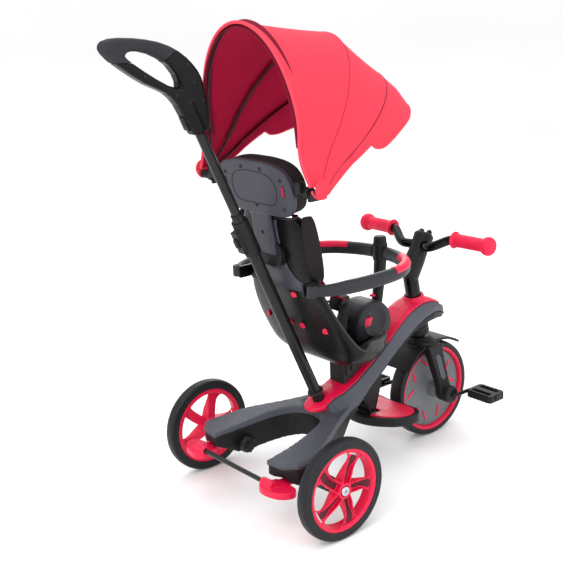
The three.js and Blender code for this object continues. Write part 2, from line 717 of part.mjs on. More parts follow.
function footrestBracket() {
  const side = outline([[262, 186], [278, 197.2], [318, 224], [322, 200], [300, 128], [292, 122], [280, 128]]);
  const cheeks = [sidePlate(side, -27, -16.6), sidePlate(side, 16.6, 27)];
  const bridge = sidePlate(outline([[262, 186], [278, 197.2], [318, 224], [320, 212], [272, 178]]), -18, 18);
  const pin = rod(FOOTREST_HINGE.clone().setY(-31), FOOTREST_HINGE.clone().setY(31), 5, 16);
  const beamRoom = sidePlate(band(SPLIT_LINE, UNDERSIDE, 240, 340, 0, -GAP, 4), -60, 60);
  return cut(join(...cheeks, bridge, pin), beamRoom);
}

add("footrest_tray", BLACK_PLASTIC, footrestTray());
add("footrest_pad", RED_PLASTIC, footrestPad());
add("footrest_bracket", BLACK_PLASTIC, footrestBracket());

// ---- Push pole: lower tube, clamp, sliding upper tube and handle ----
const POLE_CLAMP_AT = 446;

function lowerPole() {
  const body = rod(alongPole(-20), alongPole(LOWER_POLE_LENGTH), 12.7, 18);
  const bore = rod(alongPole(60), alongPole(LOWER_POLE_LENGTH + 20), 10.6, 18);
  return cut(body, bore);
}

function poleClamp() {
  const at = POLE_CLAMP_AT;
  const collar = rod(alongPole(at - 56), alongPole(at + 26), 17.5, 18);
  const housing = poleBlock(at - 40, at + 10, 12, 25, 11);
  const tube = rod(alongPole(at - 80), alongPole(at + 80), 13.15, 18);
  const buttonWell = poleBlock(at - 24.4, at - 3.6, 18.6, 40, 6.4);
  return cut(join(collar, housing), tube, buttonWell);
}

// A block beside the pole: from and to along it, near and far behind its axis.
function poleBlock(from, to, near, far, halfWidth) {
  const corners = [[from, near], [from, far], [to, far], [to, near]];
  const ring = (side) => corners.map(([distance, behind]) => alongPole(distance, behind, side).toArray());
  return loft([ring(-halfWidth), ring(halfWidth)]);
}

add("pole_lower_tube", GLOSS_BLACK, lowerPole());
add("pole_clamp", BLACK_PLASTIC, poleClamp());
add("pole_clamp_button", BLACK_PLASTIC, poleBlock(POLE_CLAMP_AT - 24, POLE_CLAMP_AT - 4, 22, 30, 6));
add("pole_upper_tube", GLOSS_BLACK, rod(alongPole(410), alongPole(UPPER_POLE_END + 16), 10.1, 18));

// The handle is a closed loop that lies in the middle plane, drawn in X and Z.
const HANDLE_OUTER = [
  [-112, 828], [-116, 868], [-120, 900], [-128, 927], [-146, 951], [-172, 973], [-208, 990], [-252, 1000],
  [-296, 1004], [-325, 1000], [-332, 988], [-322, 972], [-292, 948], [-246, 918], [-208, 900], [-186, 880],
  [-170, 852], [-146, 814],
];
const HANDLE_HOLE = [
  [-176, 908], [-196, 912], [-238, 936], [-276, 962], [-288, 973], [-276, 979], [-240, 974], [-204, 956],
  [-180, 928],
];
// The soft grip covers the upper bar and the far end of the loop.
const FOAM_REGION = [[-226, 945], [-147, 998], [-147, 1040], [-360, 1040], [-360, 962], [-292, 960], [-262, 958]];
const GRIP_CORE = [
  vec(-168, 0, 950), vec(-186, 0, 966), vec(-212, 0, 980), vec(-252, 0, 988), vec(-292, 0, 989),
  vec(-311, 0, 984), vec(-308, 0, 972), vec(-288, 0, 956), vec(-266, 0, 942),
];

// A side plate with rounded edges, the same to both sides of the middle plane.
function roundedSidePlate(shape, half, round) {
  const plate = new THREE.ExtrudeGeometry(shape, {
    depth: 2 * (half - round),
    bevelThickness: round,
    bevelSize: round * 0.8,
    bevelOffset: -round * 0.8,
    bevelSegments: 2,
  });
  const upright = new THREE.Matrix4().makeBasis(vec(1, 0, 0), vec(0, 0, 1), vec(0, -1, 0));
  return plate.applyMatrix4(upright).translate(0, half - round, 0);
}

function handleBlank(half, round) {
  const shape = smoothOutline(HANDLE_OUTER, 32);
  shape.holes.push(smoothOutline(HANDLE_HOLE, 16));
  return roundedSidePlate(shape, half, round);
}

function handleLoop() {
  const collar = rod(alongPole(UPPER_POLE_END - 8), alongPole(UPPER_POLE_END + 52), 16.5, 18);
  const socket = rod(alongPole(UPPER_POLE_END - 40), alongPole(UPPER_POLE_END + 18), 10.55, 18);
  const buttonWell = poleBlock(UPPER_POLE_END + 3.6, UPPER_POLE_END + 34.4, 13.6, 60, 8.4);
  const shell = cut(join(handleBlank(15, 7), collar), sidePlate(outline(FOAM_REGION), -40, 40));
  return cut(join(shell, tube(GRIP_CORE, 6, 14, 6)), socket, buttonWell);
}

function handleFoam() {
  const region = sidePlate(outline(FOAM_REGION), -40, 40).translate(-GAP, 0, GAP);
  return cut(common(handleBlank(17, 9), region), tube(GRIP_CORE, 6.6, 14, 6));
}

add("handle_loop", GLOSS_BLACK, handleLoop());
add("handle_foam", GRIP_FOAM, handleFoam());
add(
  "handle_button", BLACK_PLASTIC,
  poleBlock(UPPER_POLE_END + 4, UPPER_POLE_END + 34, 17, 25, 8),
);

// ---- Seat: shell, liner, pommel and slider ----
// The back and underside of the shell in the middle plane, from the front lip round to the top of the back:
// [x, z, half width, height of the side walls].
const SEAT_LINE = [
  [308, 298, 62, 30], [280, 289, 92, 44], [240, 283, 116, 56], [190, 281, 132, 64], [152, 289, 137, 62],
  [128, 307, 138, 46], [108, 348, 136, 24], [86, 398, 130, 14], [66, 444, 118, 12], [50, 485, 104, 16],
  [38, 530, 104, 32], [28, 575, 104, 36], [21, 612, 96, 32], [18, 632, 80, 20],
];
const SHELL_THICKNESS = 4;
const LINER_THICKNESS = 14;

const seatCurve = new THREE.CatmullRomCurve3(
  SEAT_LINE.map(([x, z]) => vec(x, 0, z)), false, "centripetal",
);

function seatRow(along, column) {
  const place = along * (SEAT_LINE.length - 1);
  const low = Math.min(Math.floor(place), SEAT_LINE.length - 2);
  return THREE.MathUtils.lerp(SEAT_LINE[low][column], SEAT_LINE[low + 1][column], place - low);
}

// A point of the seat: across from -1 to 1, along from 0 to 1, raised towards the sitter.
function seatPoint(across, along, raised, narrowed, lowered) {
  const base = seatCurve.getPoint(along);
  const tangent = seatCurve.getTangent(along);
  const inward = vec(tangent.z, 0, -tangent.x);
  const angle = (across * Math.PI) / 2;
  const squareness = 0.55;
  const side = Math.sign(angle) * Math.abs(Math.sin(angle)) ** squareness;
  const rise = 1 - Math.abs(Math.cos(angle)) ** squareness;
  const halfWidth = seatRow(along, 2) - narrowed;
  const wall = Math.max(seatRow(along, 3) - lowered, 2);
  return base.clone().addScaledVector(inward, raised + rise * wall).setY(side * halfWidth);
}

function shellSheet() {
  return sheet(14, 14, (u, v, w) =>
    seatPoint(u * 2 - 1, v, w * SHELL_THICKNESS, w * SHELL_THICKNESS, 0),
  );
}

// The shell with the two side bosses that carry the ring's hinges.
function seatShell() {
  const boss = box(vec(22, 102, RING_TOP - 28), vec(64, 109, RING_TOP - 2));
  return join(shellSheet(), boss, mirrored(boss));
}

function seatLiner() {
  const gap = SHELL_THICKNESS + 3;
  const pad = sheet(12, 12, (u, v, w) => {
    const depth = gap + w * LINER_THICKNESS;
    return seatPoint(u * 2 - 1, 0.09 + v * 0.9, depth, depth, 4 * w);
  });
  return cut(pad, box(vec(226, -40, 200), vec(360, 40, 400)));
}

const RING_POST = [[324, 318], [331, 352], [343, 430], [347, 474]];

function postTube(grow) {
  const rings = RING_POST.map(([x, z], i) => roundRing(vec(x, 0, z), 10.5 + 1.5 * i + grow));
  return loft(rings);
}

function roundRing(centre, radius, corners = 14) {
  const points = [];
  for (let i = 0; i < corners; i++) {
    const angle = (2 * Math.PI * (i + 0.5)) / corners;
    points.push([centre.x + radius * Math.cos(angle), centre.y + radius * Math.sin(angle), centre.z]);
  }
  return points;
}

const POMMEL_OUTLINE = [
  [242, 307], [234, 334], [241, 364], [260, 385], [288, 393], [316, 388], [337, 370], [346, 340], [341, 316],
  [322, 306], [284, 306],
];
const POMMEL_HALF_WIDTH = 38;

// The rounded block between the legs, with a shallow dish in each side.
function seatPommel() {
  const side = smoothOutline(POMMEL_OUTLINE, 30);
  const body = roundedSidePlate(side, POMMEL_HALF_WIDTH, 12);
  const foot = box(vec(256, -20, 295), vec(282, 20, 312));
  const dish = turned(
    [[0, -7], [16, -6.5], [27, -3.5], [33, 1], [33, 8], [0, 8]],
    vec(290, POMMEL_HALF_WIDTH, 348), vec(290, 100, 348), 20,
  );
  return cut(join(body, foot), postTube(GAP), dish, mirrored(dish));
}

function seatSlider() {
  const block = sidePlate(
    outline([[204, 201], [204, 270], [210, 277], [244, 278.5], [262, 281], [262, 250]]), -23, 23,
  );
  const ribs = [0, 1, 2].map((i) =>
    box(vec(209 + i * 17, -28, 238 + i * 7), vec(218 + i * 17, 28, 264 + i * 4)),
  );
  const rings = BEAM_STATIONS.filter((x) => x >= 146 && x <= 291).map((x) => {
    const top = Math.max(lookUp(RED_EDGE, x), coverTop(x) + 1 + GAP) + 8;
    return [[x, -60, 100], [x, -60, top], [x, 60, top], [x, 60, 100]];
  });
  return cut(join(block, ...ribs), loft(rings));
}

function ringPost() {
  const head = turned(
    [[0, 0], [17, 0], [17, 36], [15, 40], [15, 50], [12, 55], [0, 55]], vec(347, 0, 474), vec(347, 0, 600), 20,
  );
  return join(postTube(0), head);
}

const RING_HINGE = vec(32, 121, RING_TOP - 15);
const RING_LINE = [
  [32, 121], [62, 139], [110, 151], [195, 156], [262, 146], [306, 118], [332, 78], [345, 40], [348, 18.5],
];

// One half of the safety ring, an upright oval bar that lies in a level plane.
function ringHalf() {
  const path = new THREE.CatmullRomCurve3(
    RING_LINE.map(([x, y]) => vec(x, y, RING_HINGE.z)), false, "centripetal",
  );
  const section = [[11, 8], [11, -8], [7, -15], [-7, -15], [-11, -8], [-11, 8], [-7, 15], [7, 15]];
  const rings = [];
  for (let i = 0; i <= 18; i++) {
    const at = path.getPoint(i / 18);
    const along = path.getTangent(i / 18);
    rings.push(section.map(([out, up]) => [at.x - along.y * out, at.y + along.x * out, at.z + up]));
  }
  const knuckle = rod(RING_HINGE.clone().setZ(RING_TOP - 30), RING_HINGE.clone().setZ(RING_TOP), 11, 16);
  return join(loft(rings), knuckle);
}

// The bump on the seat's back that closes the headrest's slot, trimmed to the shell's skin.
function seatBackCover() {
  const bump = smoothOutline(
    [[-38, 532], [-46, 552], [-36, 576], [0, 586], [36, 576], [46, 552], [38, 532], [0, 528]], 24,
  );
  const depth = backPlate(bump, 18, 60);
  const skinRoom = sheet(14, 14, (u, v, w) => seatPoint(u * 2 - 1, v, -0.8 + w * 60, 0, 0));
  return cut(depth, skinRoom, headrestNeck(0.6));
}

add("seat_shell", GLOSS_BLACK, seatShell());
add("seat_liner", PAD_FABRIC, seatLiner());
add("seat_pommel", GREY_PLASTIC, seatPommel());
add("seat_slider", BLACK_PLASTIC, seatSlider());
add("seat_back_cover", BLACK_PLASTIC, seatBackCover());
add("ring_post", BLACK_PLASTIC, ringPost());
addPair("ring_half", GREY_PLASTIC, ringHalf());

// ---- Headrest: neck and panel in one shell, and a cushion ----
function inHeadrest(geometry) {
  return geometry.rotateY(-HEADREST_LEAN).translate(HEADREST_FOOT.x, 0, HEADREST_FOOT.z);
}

function headrestNeck(grow) {
  return inHeadrest(box(vec(-grow, -30 - grow, -28 - grow), vec(8 + grow, 30 + grow, 110)));
}

function headrestOutline(inset) {
  const half = [[0, 205], [60, 202], [97, 190], [115, 168], [118, 138], [108, 110], [92, 97], [45, 94]];
  const left = half.map(([y, z]) => [y - Math.sign(y) * inset, z + (z > 150 ? -inset : inset)]);
  const right = left.slice(1).reverse().map(([y, z]) => [-y, z]);
  return smoothOutline([...left, ...right], 40);
}

function headrestShell() {
  const panel = inHeadrest(backPlate(headrestOutline(0), -1, 11));
  return join(panel, headrestNeck(0));
}

function headrestCushion() {
  return inHeadrest(backPlate(headrestOutline(1.5), 11 + GAP, 46));
}

add("headrest_shell", VIOLET_PLASTIC, headrestShell());
add("headrest_cushion", PAD_FABRIC, headrestCushion());

// ---- Canopy: two brackets, three bows and three fabric panels ----
// Each bow is an arch in a plane through the pivots: angle forwards from vertical, height and half width.
const BOWS = {
  rear: { angle: -4.5, height: 313, halfWidth: 143, hubY: 170 },
  middle: { angle: 33, height: 334, halfWidth: 156, hubY: 176.5 },
  front: { angle: 57, height: 360, halfWidth: 164, hubY: 183 },
};
const ARCH_SPRING = 110; // the arch is straight up to this distance from the pivots
const FABRIC_START = 24;
const FABRIC_OFFSET = 5.4;
const FABRIC_THICKNESS = 2;
const PEAK_REACH = 0.6; // the peak covers this share of the arch

// A point of a bow's arch: side runs from -1 at the right pivot to 1 at the left pivot.
function archPoint(bow, side, grow, start) {
  const reach = Math.abs(side);
  const straight = 0.3;
  const halfWidth = bow.halfWidth + grow;
  let up;
  let out;
  if (reach > 1 - straight) {
    const share = (1 - reach) / straight;
    up = start + (ARCH_SPRING - start) * share;
    out = halfWidth + (bow.hubY + grow - halfWidth) * (1 - share) ** 2;
  } else {
    const angle = (Math.PI / 2) * (1 - reach / (1 - straight));
    up = ARCH_SPRING + (bow.height + grow - ARCH_SPRING) * Math.sin(angle);
    out = halfWidth * Math.cos(angle);
  }
  const lean = THREE.MathUtils.degToRad(bow.angle);
  return vec(
    CANOPY_PIVOT.x + up * Math.sin(lean), Math.sign(side) * out, CANOPY_PIVOT.z + up * Math.cos(lean),
  );
}

function bowWire(bow) {
  const points = [];
  for (let i = -12; i <= 12; i++) points.push(archPoint(bow, i / 12, 0, 4));
  const eyes = [-1, 1].map((side) =>
    rod(
      vec(CANOPY_PIVOT.x, side * (bow.hubY - 2.4), CANOPY_PIVOT.z),
      vec(CANOPY_PIVOT.x, side * (bow.hubY + 2.4), CANOPY_PIVOT.z), 9, 10,
    ),
  );
  const pin = rod(CANOPY_PIVOT.clone().setY(-220), CANOPY_PIVOT.clone().setY(220), 3.9, 8);
  return cut(join(tube(points, 2.4, 26, 5), ...eyes), pin);
}

// Fabric stretched in straight lines between two arches.
function fabricPanel(from, to) {
  return sheet(20, 2, (u, v, w) => {
    const side = u * 2 - 1;
    const grow = FABRIC_OFFSET + w * FABRIC_THICKNESS;
    const safe = side === 0 ? 1e-6 : side;
    return archPoint(from, safe, grow, FABRIC_START).lerp(archPoint(to, safe, grow, FABRIC_START), v);
  });
}

function turnedBow(bow, degrees, height = bow.height) {
  return { ...bow, angle: bow.angle + degrees, height };
}

// The part in front of the front bow: a hem all round, and a peak over the middle of the arch.
function frontPanel() {
  const start = turnedBow(BOWS.front, 0.15);
  const hem = turnedBow(BOWS.front, 7.6, 384);
  const hemEdge = turnedBow(BOWS.front, 7.9, 385);
  const peak = turnedBow(BOWS.front, 15, 404);
  return sheet(22, 3, (u, v, w) => {
    const side = u * 2 - 1 || 1e-6;
    const grow = FABRIC_OFFSET + w * FABRIC_THICKNESS;
    const place = (bow) => archPoint(bow, side, grow, FABRIC_START);
    const outer = Math.abs(side) < PEAK_REACH ? peak : hemEdge;
    return v <= 0.34 ? place(start).lerp(place(hem), v * 3) : place(hem).lerp(place(outer), v * 1.5 - 0.5);
  });
}

function canopyBracket() {
  const { x, z } = CANOPY_PIVOT;
  const arm = rod(vec(8, 119, 696), vec(8, 160, 698), 8, 16);
  const hub = rod(vec(x, 150, z), vec(x, 161, z), 12, 16);
  const lever = box(vec(4, 151, 682), vec(34, 159, 694));
  const pin = rod(vec(x, 160, z), vec(x, 189, z), 3.4, 10);
  return join(arm, hub, lever, pin);
}

addPair("canopy_bracket", BLACK_PLASTIC, canopyBracket());
add("canopy_rear_bow", BLACK_PLASTIC, bowWire(BOWS.rear));
add("canopy_middle_bow", BLACK_PLASTIC, bowWire(BOWS.middle));
add("canopy_front_bow", BLACK_PLASTIC, bowWire(BOWS.front));
add(
  "canopy_rear_panel", CANOPY_FABRIC,
  fabricPanel(turnedBow(BOWS.rear, -1.5), turnedBow(BOWS.middle, -0.15)),
);
add(
  "canopy_middle_panel", CANOPY_FABRIC,
  fabricPanel(turnedBow(BOWS.middle, 0.15), turnedBow(BOWS.front, -0.15)),
);
add("canopy_front_panel", CANOPY_FABRIC, frontPanel());

export default tricycle;
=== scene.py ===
"""A children's push tricycle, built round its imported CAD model. Metres, +X forwards, +Y left, +Z up.

Shapes are drawn in millimetres with x = 0 at the rear axle, as in the CAD source; to_frame() places them.
"""
import math

import bmesh
import bpy
import numpy as np
from mathutils import Matrix, Vector


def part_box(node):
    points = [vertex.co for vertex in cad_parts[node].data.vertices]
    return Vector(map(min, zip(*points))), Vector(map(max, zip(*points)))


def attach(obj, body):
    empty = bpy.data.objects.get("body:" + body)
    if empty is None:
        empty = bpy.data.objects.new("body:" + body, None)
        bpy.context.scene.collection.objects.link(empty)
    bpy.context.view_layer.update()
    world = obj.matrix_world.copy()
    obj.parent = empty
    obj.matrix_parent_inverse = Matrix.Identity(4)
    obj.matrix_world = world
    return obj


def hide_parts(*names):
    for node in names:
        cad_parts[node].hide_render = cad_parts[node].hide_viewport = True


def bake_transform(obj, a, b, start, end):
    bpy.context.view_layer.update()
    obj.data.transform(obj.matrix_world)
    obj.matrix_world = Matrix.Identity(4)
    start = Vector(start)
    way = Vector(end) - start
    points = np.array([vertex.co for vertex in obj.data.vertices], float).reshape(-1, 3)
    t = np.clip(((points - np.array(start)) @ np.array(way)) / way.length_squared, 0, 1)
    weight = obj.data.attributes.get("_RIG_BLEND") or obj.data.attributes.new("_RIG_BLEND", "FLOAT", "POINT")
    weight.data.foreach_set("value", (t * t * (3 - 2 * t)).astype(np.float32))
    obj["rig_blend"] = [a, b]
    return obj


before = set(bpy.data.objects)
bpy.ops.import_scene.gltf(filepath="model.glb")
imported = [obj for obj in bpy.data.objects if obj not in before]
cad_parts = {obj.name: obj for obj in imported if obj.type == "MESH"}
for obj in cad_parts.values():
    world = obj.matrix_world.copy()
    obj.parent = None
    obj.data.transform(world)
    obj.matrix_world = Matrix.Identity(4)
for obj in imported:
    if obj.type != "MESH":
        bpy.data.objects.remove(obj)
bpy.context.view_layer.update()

# ---- Driving dimensions, in millimetres, from the frame where it has them ----


def centre(node):
    low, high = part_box(node)
    return (low + high) / 2


REAR_AXLE_X = centre("rear_tyre_left").x


def to_frame(point):
    return Vector((point[0] / 1000 + REAR_AXLE_X, point[1] / 1000, point[2] / 1000))


def to_drawing(point):
    return ((point[0] - REAR_AXLE_X) * 1000, point[1] * 1000, point[2] * 1000)


REAR_WHEEL = {"radius": 107.5, "rim": 87.5, "width": 26.5, "y": 226.8}
FRONT_WHEEL = {"radius": 119.0, "rim": 104.5, "width": 38.0, "x": to_drawing(centre("front_tyre"))[0]}
STEERING_FOOT = (504.0, 0.0, 119.0)
STEERING_LEAN = math.radians(11.2)
POLE_FOOT = (144.0, 0.0, 202.0)
POLE_LEAN = math.radians(24)
CANOPY_PIVOT = (5.0, 0.0, 700.0)
HEADREST_LEAN = math.radians(10)
HEADREST_FOOT = (20.0, 0.0, 548.0)
RING_TOP = 506.0
SMOOTH_ANGLE = math.radians(38)
SOFT_ANGLE = math.radians(60)
SIDES = (("left", 1), ("right", -1))


def along_steering(height, sideways=0.0, forward=0.0):
    x = STEERING_FOOT[0] - (height - STEERING_FOOT[2]) * math.tan(STEERING_LEAN)
    return (x + forward, sideways, height)


def along_pole(distance, behind=0.0, sideways=0.0):
    x = POLE_FOOT[0] - distance * math.sin(POLE_LEAN) - behind * math.cos(POLE_LEAN)
    z = POLE_FOOT[2] + distance * math.cos(POLE_LEAN) - behind * math.sin(POLE_LEAN)
    return (x, sideways, z)


def in_headrest(point):
    """A headrest point, measured forwards, left and up from the back of its neck."""
    forward, left, up = point
    cosine, sine = math.cos(HEADREST_LEAN), math.sin(HEADREST_LEAN)
    x = HEADREST_FOOT[0] + forward * cosine - up * sine
    z = HEADREST_FOOT[2] + forward * sine + up * cosine
    return (x, left, z)


# ---- Materials ----
def new_material(name):
    surface = bpy.data.materials.new(name)
    surface.use_nodes = True
    tree = surface.node_tree
    tree.nodes.clear()
    output = tree.nodes.new("ShaderNodeOutputMaterial")
    shader = tree.nodes.new("ShaderNodeBsdfPrincipled")
    tree.links.new(shader.outputs["BSDF"], output.inputs["Surface"])
    return surface, tree, shader


def add_node(tree, kind, inputs=None, **settings):
    node = tree.nodes.new(kind)
    for key, value in settings.items():
        setattr(node, key, value)
    for key, value in (inputs or {}).items():
        if isinstance(value, bpy.types.NodeSocket):
            tree.links.new(value, node.inputs[key])
        else:
            node.inputs[key].default_value = value
    return node


def set_values(shader, values):
    for key, value in values.items():
        shader.inputs[key].default_value = value


def colour(hex_code):
    """The linear colour of an sRGB hex code."""
    channels = [int(hex_code[i:i + 2], 16) / 255 for i in (0, 2, 4)]
    return [c / 12.92 if c <= 0.04045 else ((c + 0.055) / 1.055) ** 2.4 for c in channels] + [1.0]


def scaled(rgba, share):
    return [min(1.0, c * share) for c in rgba[:3]] + [1.0]


def noise(tree, scale, detail=2.0, vector=None):
    inputs = {"Scale": scale, "Detail": detail, "Vector": vector or object_place(tree)}
    return add_node(tree, "ShaderNodeTexNoise", inputs).outputs["Fac"]


def ramp(tree, factor, stops):
    node = add_node(tree, "ShaderNodeValToRGB", {"Fac": factor})
    elements = node.color_ramp.elements
    for element, (position, shade) in zip(elements, (stops[0], stops[-1])):
        element.position = position
        element.color = shade
    for position, shade in stops[1:-1]:
        elements.new(position).color = shade
    return node.outputs["Color"]


def from_range(tree, value, start, end, low=0.0, high=1.0):
    """Maps a value between start and end to one between low and high."""
    inputs = {"Value": value, "From Min": start, "From Max": end, "To Min": low, "To Max": high}
    return add_node(tree, "ShaderNodeMapRange", inputs).outputs["Result"]


def roughen(tree, shader, factor, low, high):
    """Lets the roughness wander from low to high with a noise factor."""
    tree.links.new(from_range(tree, factor, 0.25, 0.75, low, high), shader.inputs["Roughness"])


def maths(tree, operation, first, second):
    return add_node(tree, "ShaderNodeMath", {0: first, 1: second}, operation=operation).outputs[0]


def mixed(tree, factor, first, second):
    """A colour between two others. The numbers are the Mix node's sockets for colours."""
    inputs = {0: factor, 6: first, 7: second}
    return add_node(tree, "ShaderNodeMix", inputs, data_type="RGBA").outputs[2]


def bump(tree, shader, height, strength, distance, below=None):
    inputs = {"Height": height, "Strength": strength, "Distance": distance}
    if below is not None:
        inputs["Normal"] = below
    node = add_node(tree, "ShaderNodeBump", inputs)
    tree.links.new(node.outputs["Normal"], shader.inputs["Normal"])
    return node.outputs["Normal"]


def edge_wear(tree, shader, base, worn, amount):
    """Sets the base colour, lighter on the sharpest edges, where handling polishes a moulding."""
    sharpness = add_node(tree, "ShaderNodeNewGeometry").outputs["Pointiness"]
    factor = from_range(tree, sharpness, 0.53, 0.62, high=amount)
    tree.links.new(mixed(tree, factor, base, worn), shader.inputs["Base Color"])


def worn_shade(shade, lift, share):
    return scaled([c + lift for c in shade[:3]], share)


def cloudy(tree, shade, clouds, below, above):
    """The shade, darker and lighter with a cloud factor."""
    return ramp(tree, clouds, [(0.3, scaled(shade, below)), (0.7, scaled(shade, above))])


def object_place(tree):
    return add_node(tree, "ShaderNodeTexCoord").outputs["Object"]


def moulded_plastic(name, shade, roughness, grain=0.25, wear=0.35, specular=0.5):
    """A moulded surface: spark-eroded grain, faint cloudiness and lighter edges."""
    surface, tree, shader = new_material(name)
    tone = cloudy(tree, shade, noise(tree, 11, 3), 0.93, 1.07)
    edge_wear(tree, shader, tone, worn_shade(shade, 0.02, 1.5), wear)
    roughen(tree, shader, noise(tree, 70, 4), roughness - 0.05, roughness + 0.07)
    bump(tree, shader, noise(tree, 1300, 2), grain, 0.00025)
    shader.inputs["Specular IOR Level"].default_value = specular
    return surface


def grooved_plastic(name, shade, roughness):
    """The frame's top: fine raised grain with shallow wavy grooves across it, their floors on upward faces
    darkened with painted shade.
    """
    surface, tree, shader = new_material(name)
    place = object_place(tree)
    tone = cloudy(tree, shade, noise(tree, 9, 3, place), 0.93, 1.08)
    inputs = {"Vector": place, "Scale": 44, "Distortion": 2.2, "Detail": 1.0, "Detail Scale": 0.6}
    waves = add_node(tree, "ShaderNodeTexWave", inputs, bands_direction="X").outputs["Fac"]
    upwards = add_node(tree, "ShaderNodeNewGeometry").outputs["Normal"]
    facing = add_node(tree, "ShaderNodeSeparateXYZ", {"Vector": upwards}).outputs["Z"]
    in_groove = maths(tree, "SUBTRACT", 1.0, from_range(tree, waves, 0.0, 0.3))
    depth = maths(tree, "MULTIPLY", in_groove, from_range(tree, facing, 0.75, 0.95))
    # Painted shade: the groove floors on upward faces are darkened in colour; the same mask also sinks them
    # with a bump.
    groove_shaded_tone = mixed(tree, depth, tone, scaled(shade, 0.5))
    edge_wear(tree, shader, groove_shaded_tone, scaled(shade, 1.9), 0.6)
    roughen(tree, shader, noise(tree, 90, 4, place), roughness - 0.05, roughness + 0.06)
    grain = bump(tree, shader, noise(tree, 1200, 2, place), 0.3, 0.00025)
    bump(tree, shader, maths(tree, "SUBTRACT", 1.0, depth), 0.7, 0.0012, grain)
    return surface


def weave(tree, pitch, flat_cut):
    """Height of a plain weave: on the cut cloth's own UV map, in metres, or through the piece's own space."""
    if flat_cut:
        place = add_node(tree, "ShaderNodeUVMap").outputs["UV"]
        layouts = (("X", place), ("Y", place))
    else:
        place = object_place(tree)
        turned = add_node(tree, "ShaderNodeMapping", {"Vector": place, "Scale": (1, -1, 1)}).outputs["Vector"]
        layouts = (("DIAGONAL", place), ("DIAGONAL", turned))
    bands = []
    for direction, vector in layouts:
        inputs = {
            "Vector": vector, "Scale": 0.314 / pitch, "Distortion": 0.6, "Detail": 1.0, "Detail Scale": 1.5,
        }
        bands.append(add_node(tree, "ShaderNodeTexWave", inputs, bands_direction=direction).outputs["Fac"])
    return maths(tree, "MULTIPLY", *bands), place


def woven_fabric(
    name, shade, pitch, roughness=0.85, sheen=0.35, creases=0.35, translucent=0.0, flat_cut=False
):
    surface, tree, shader = new_material(name)
    height, place = weave(tree, pitch, flat_cut)
    tone = ramp(tree, noise(tree, 16, 4, place), [(0.28, scaled(shade, 0.9)), (0.72, scaled(shade, 1.07))])
    threads = mixed(tree, from_range(tree, height, 0.25, 0.75, 0.0, 0.5), scaled(shade, 0.8), tone)
    tree.links.new(threads, shader.inputs["Base Color"])
    roughen(tree, shader, noise(tree, 300, 2, place), roughness - 0.06, roughness + 0.06)
    folds = bump(tree, shader, noise(tree, 22, 3, place), creases, 0.003)
    bump(tree, shader, height, 0.35, 0.0003, folds)
    set_values(shader, {
        "Sheen Weight": sheen, "Sheen Roughness": 0.4, "Sheen Tint": scaled(shade, 1.6),
        "Specular IOR Level": 0.25,
    })
    if translucent:
        radius = (0.02, 0.004, 0.004)
        set_values(shader, {
            "Subsurface Weight": translucent, "Subsurface Radius": radius, "Subsurface Scale": 0.2,
        })
    return surface


def painted_metal(name, shade, roughness, metallic=0.0, specular=0.5):
    """Powder coat or plating: faint orange peel and fine rubbing marks."""
    surface, tree, shader = new_material(name)
    tone = cloudy(tree, shade, noise(tree, 18, 3), 0.9, 1.1)
    edge_wear(tree, shader, tone, worn_shade(shade, 0.05, 1.6), 0.4)
    inputs = {"Vector": object_place(tree), "Scale": (1, 1, 0.12)}
    rubbing = noise(tree, 500, 4, add_node(tree, "ShaderNodeMapping", inputs).outputs["Vector"])
    roughen(tree, shader, rubbing, roughness - 0.02, roughness + 0.04)
    bump(tree, shader, noise(tree, 260, 2), 0.02, 0.0002)
    set_values(shader, {"Metallic": metallic, "Specular IOR Level": specular})
    return surface


def foam_rubber(name, shade, roughness, pores):
    """Closed-cell foam or rubber: a soft matt skin with fine pores."""
    surface, tree, shader = new_material(name)
    tone = cloudy(tree, shade, noise(tree, 30, 4), 0.85, 1.15)
    edge_wear(tree, shader, tone, worn_shade(shade, 0.01, 1.7), 0.5)
    roughen(tree, shader, noise(tree, 120, 3), roughness - 0.07, roughness + 0.07)
    cells = add_node(tree, "ShaderNodeTexVoronoi", {"Vector": object_place(tree), "Scale": 1100})
    bump(tree, shader, cells.outputs["Distance"], pores, 0.0003)
    shader.inputs["Specular IOR Level"].default_value = 0.3
    return surface


RED = moulded_plastic("red_moulding", colour("DC0F41"), 0.4, grain=0.12, wear=0.12, specular=0.35)
GREY = grooved_plastic("frame_grey", colour("434650"), 0.55)
RING_GREY = moulded_plastic("ring_grey", colour("27282D"), 0.42, grain=0.15, specular=0.28)
BLACK = moulded_plastic("black_moulding", colour("101113"), 0.48, grain=0.3, specular=0.28)
SHELL_BLACK = moulded_plastic("shell_black", colour("0A0A0B"), 0.3, grain=0.02, wear=0.1, specular=0.16)
VIOLET = moulded_plastic("violet_grey_moulding", colour("363641"), 0.4, grain=0.12, specular=0.35)
DISC = moulded_plastic("disc_grey", colour("63676B"), 0.55, grain=0.3)
TYRE = foam_rubber("tyre_foam", colour("14161A"), 0.5, 0.18)
GRIP_RED = foam_rubber("grip_rubber", colour("E01443"), 0.55, 0.12)
FOAM = foam_rubber("handle_foam", colour("2C2C30"), 0.85, 0.5)
STEEL_BLACK = painted_metal("black_paint", colour("050506"), 0.18, specular=0.22)
STEEL_BRIGHT = painted_metal("zinc_plate", colour("BFC2C8"), 0.28, metallic=1.0)
CORAL = woven_fabric("canopy_cloth", colour("EE3F54"), 0.0007, sheen=0.25, translucent=0.1, flat_cut=True)
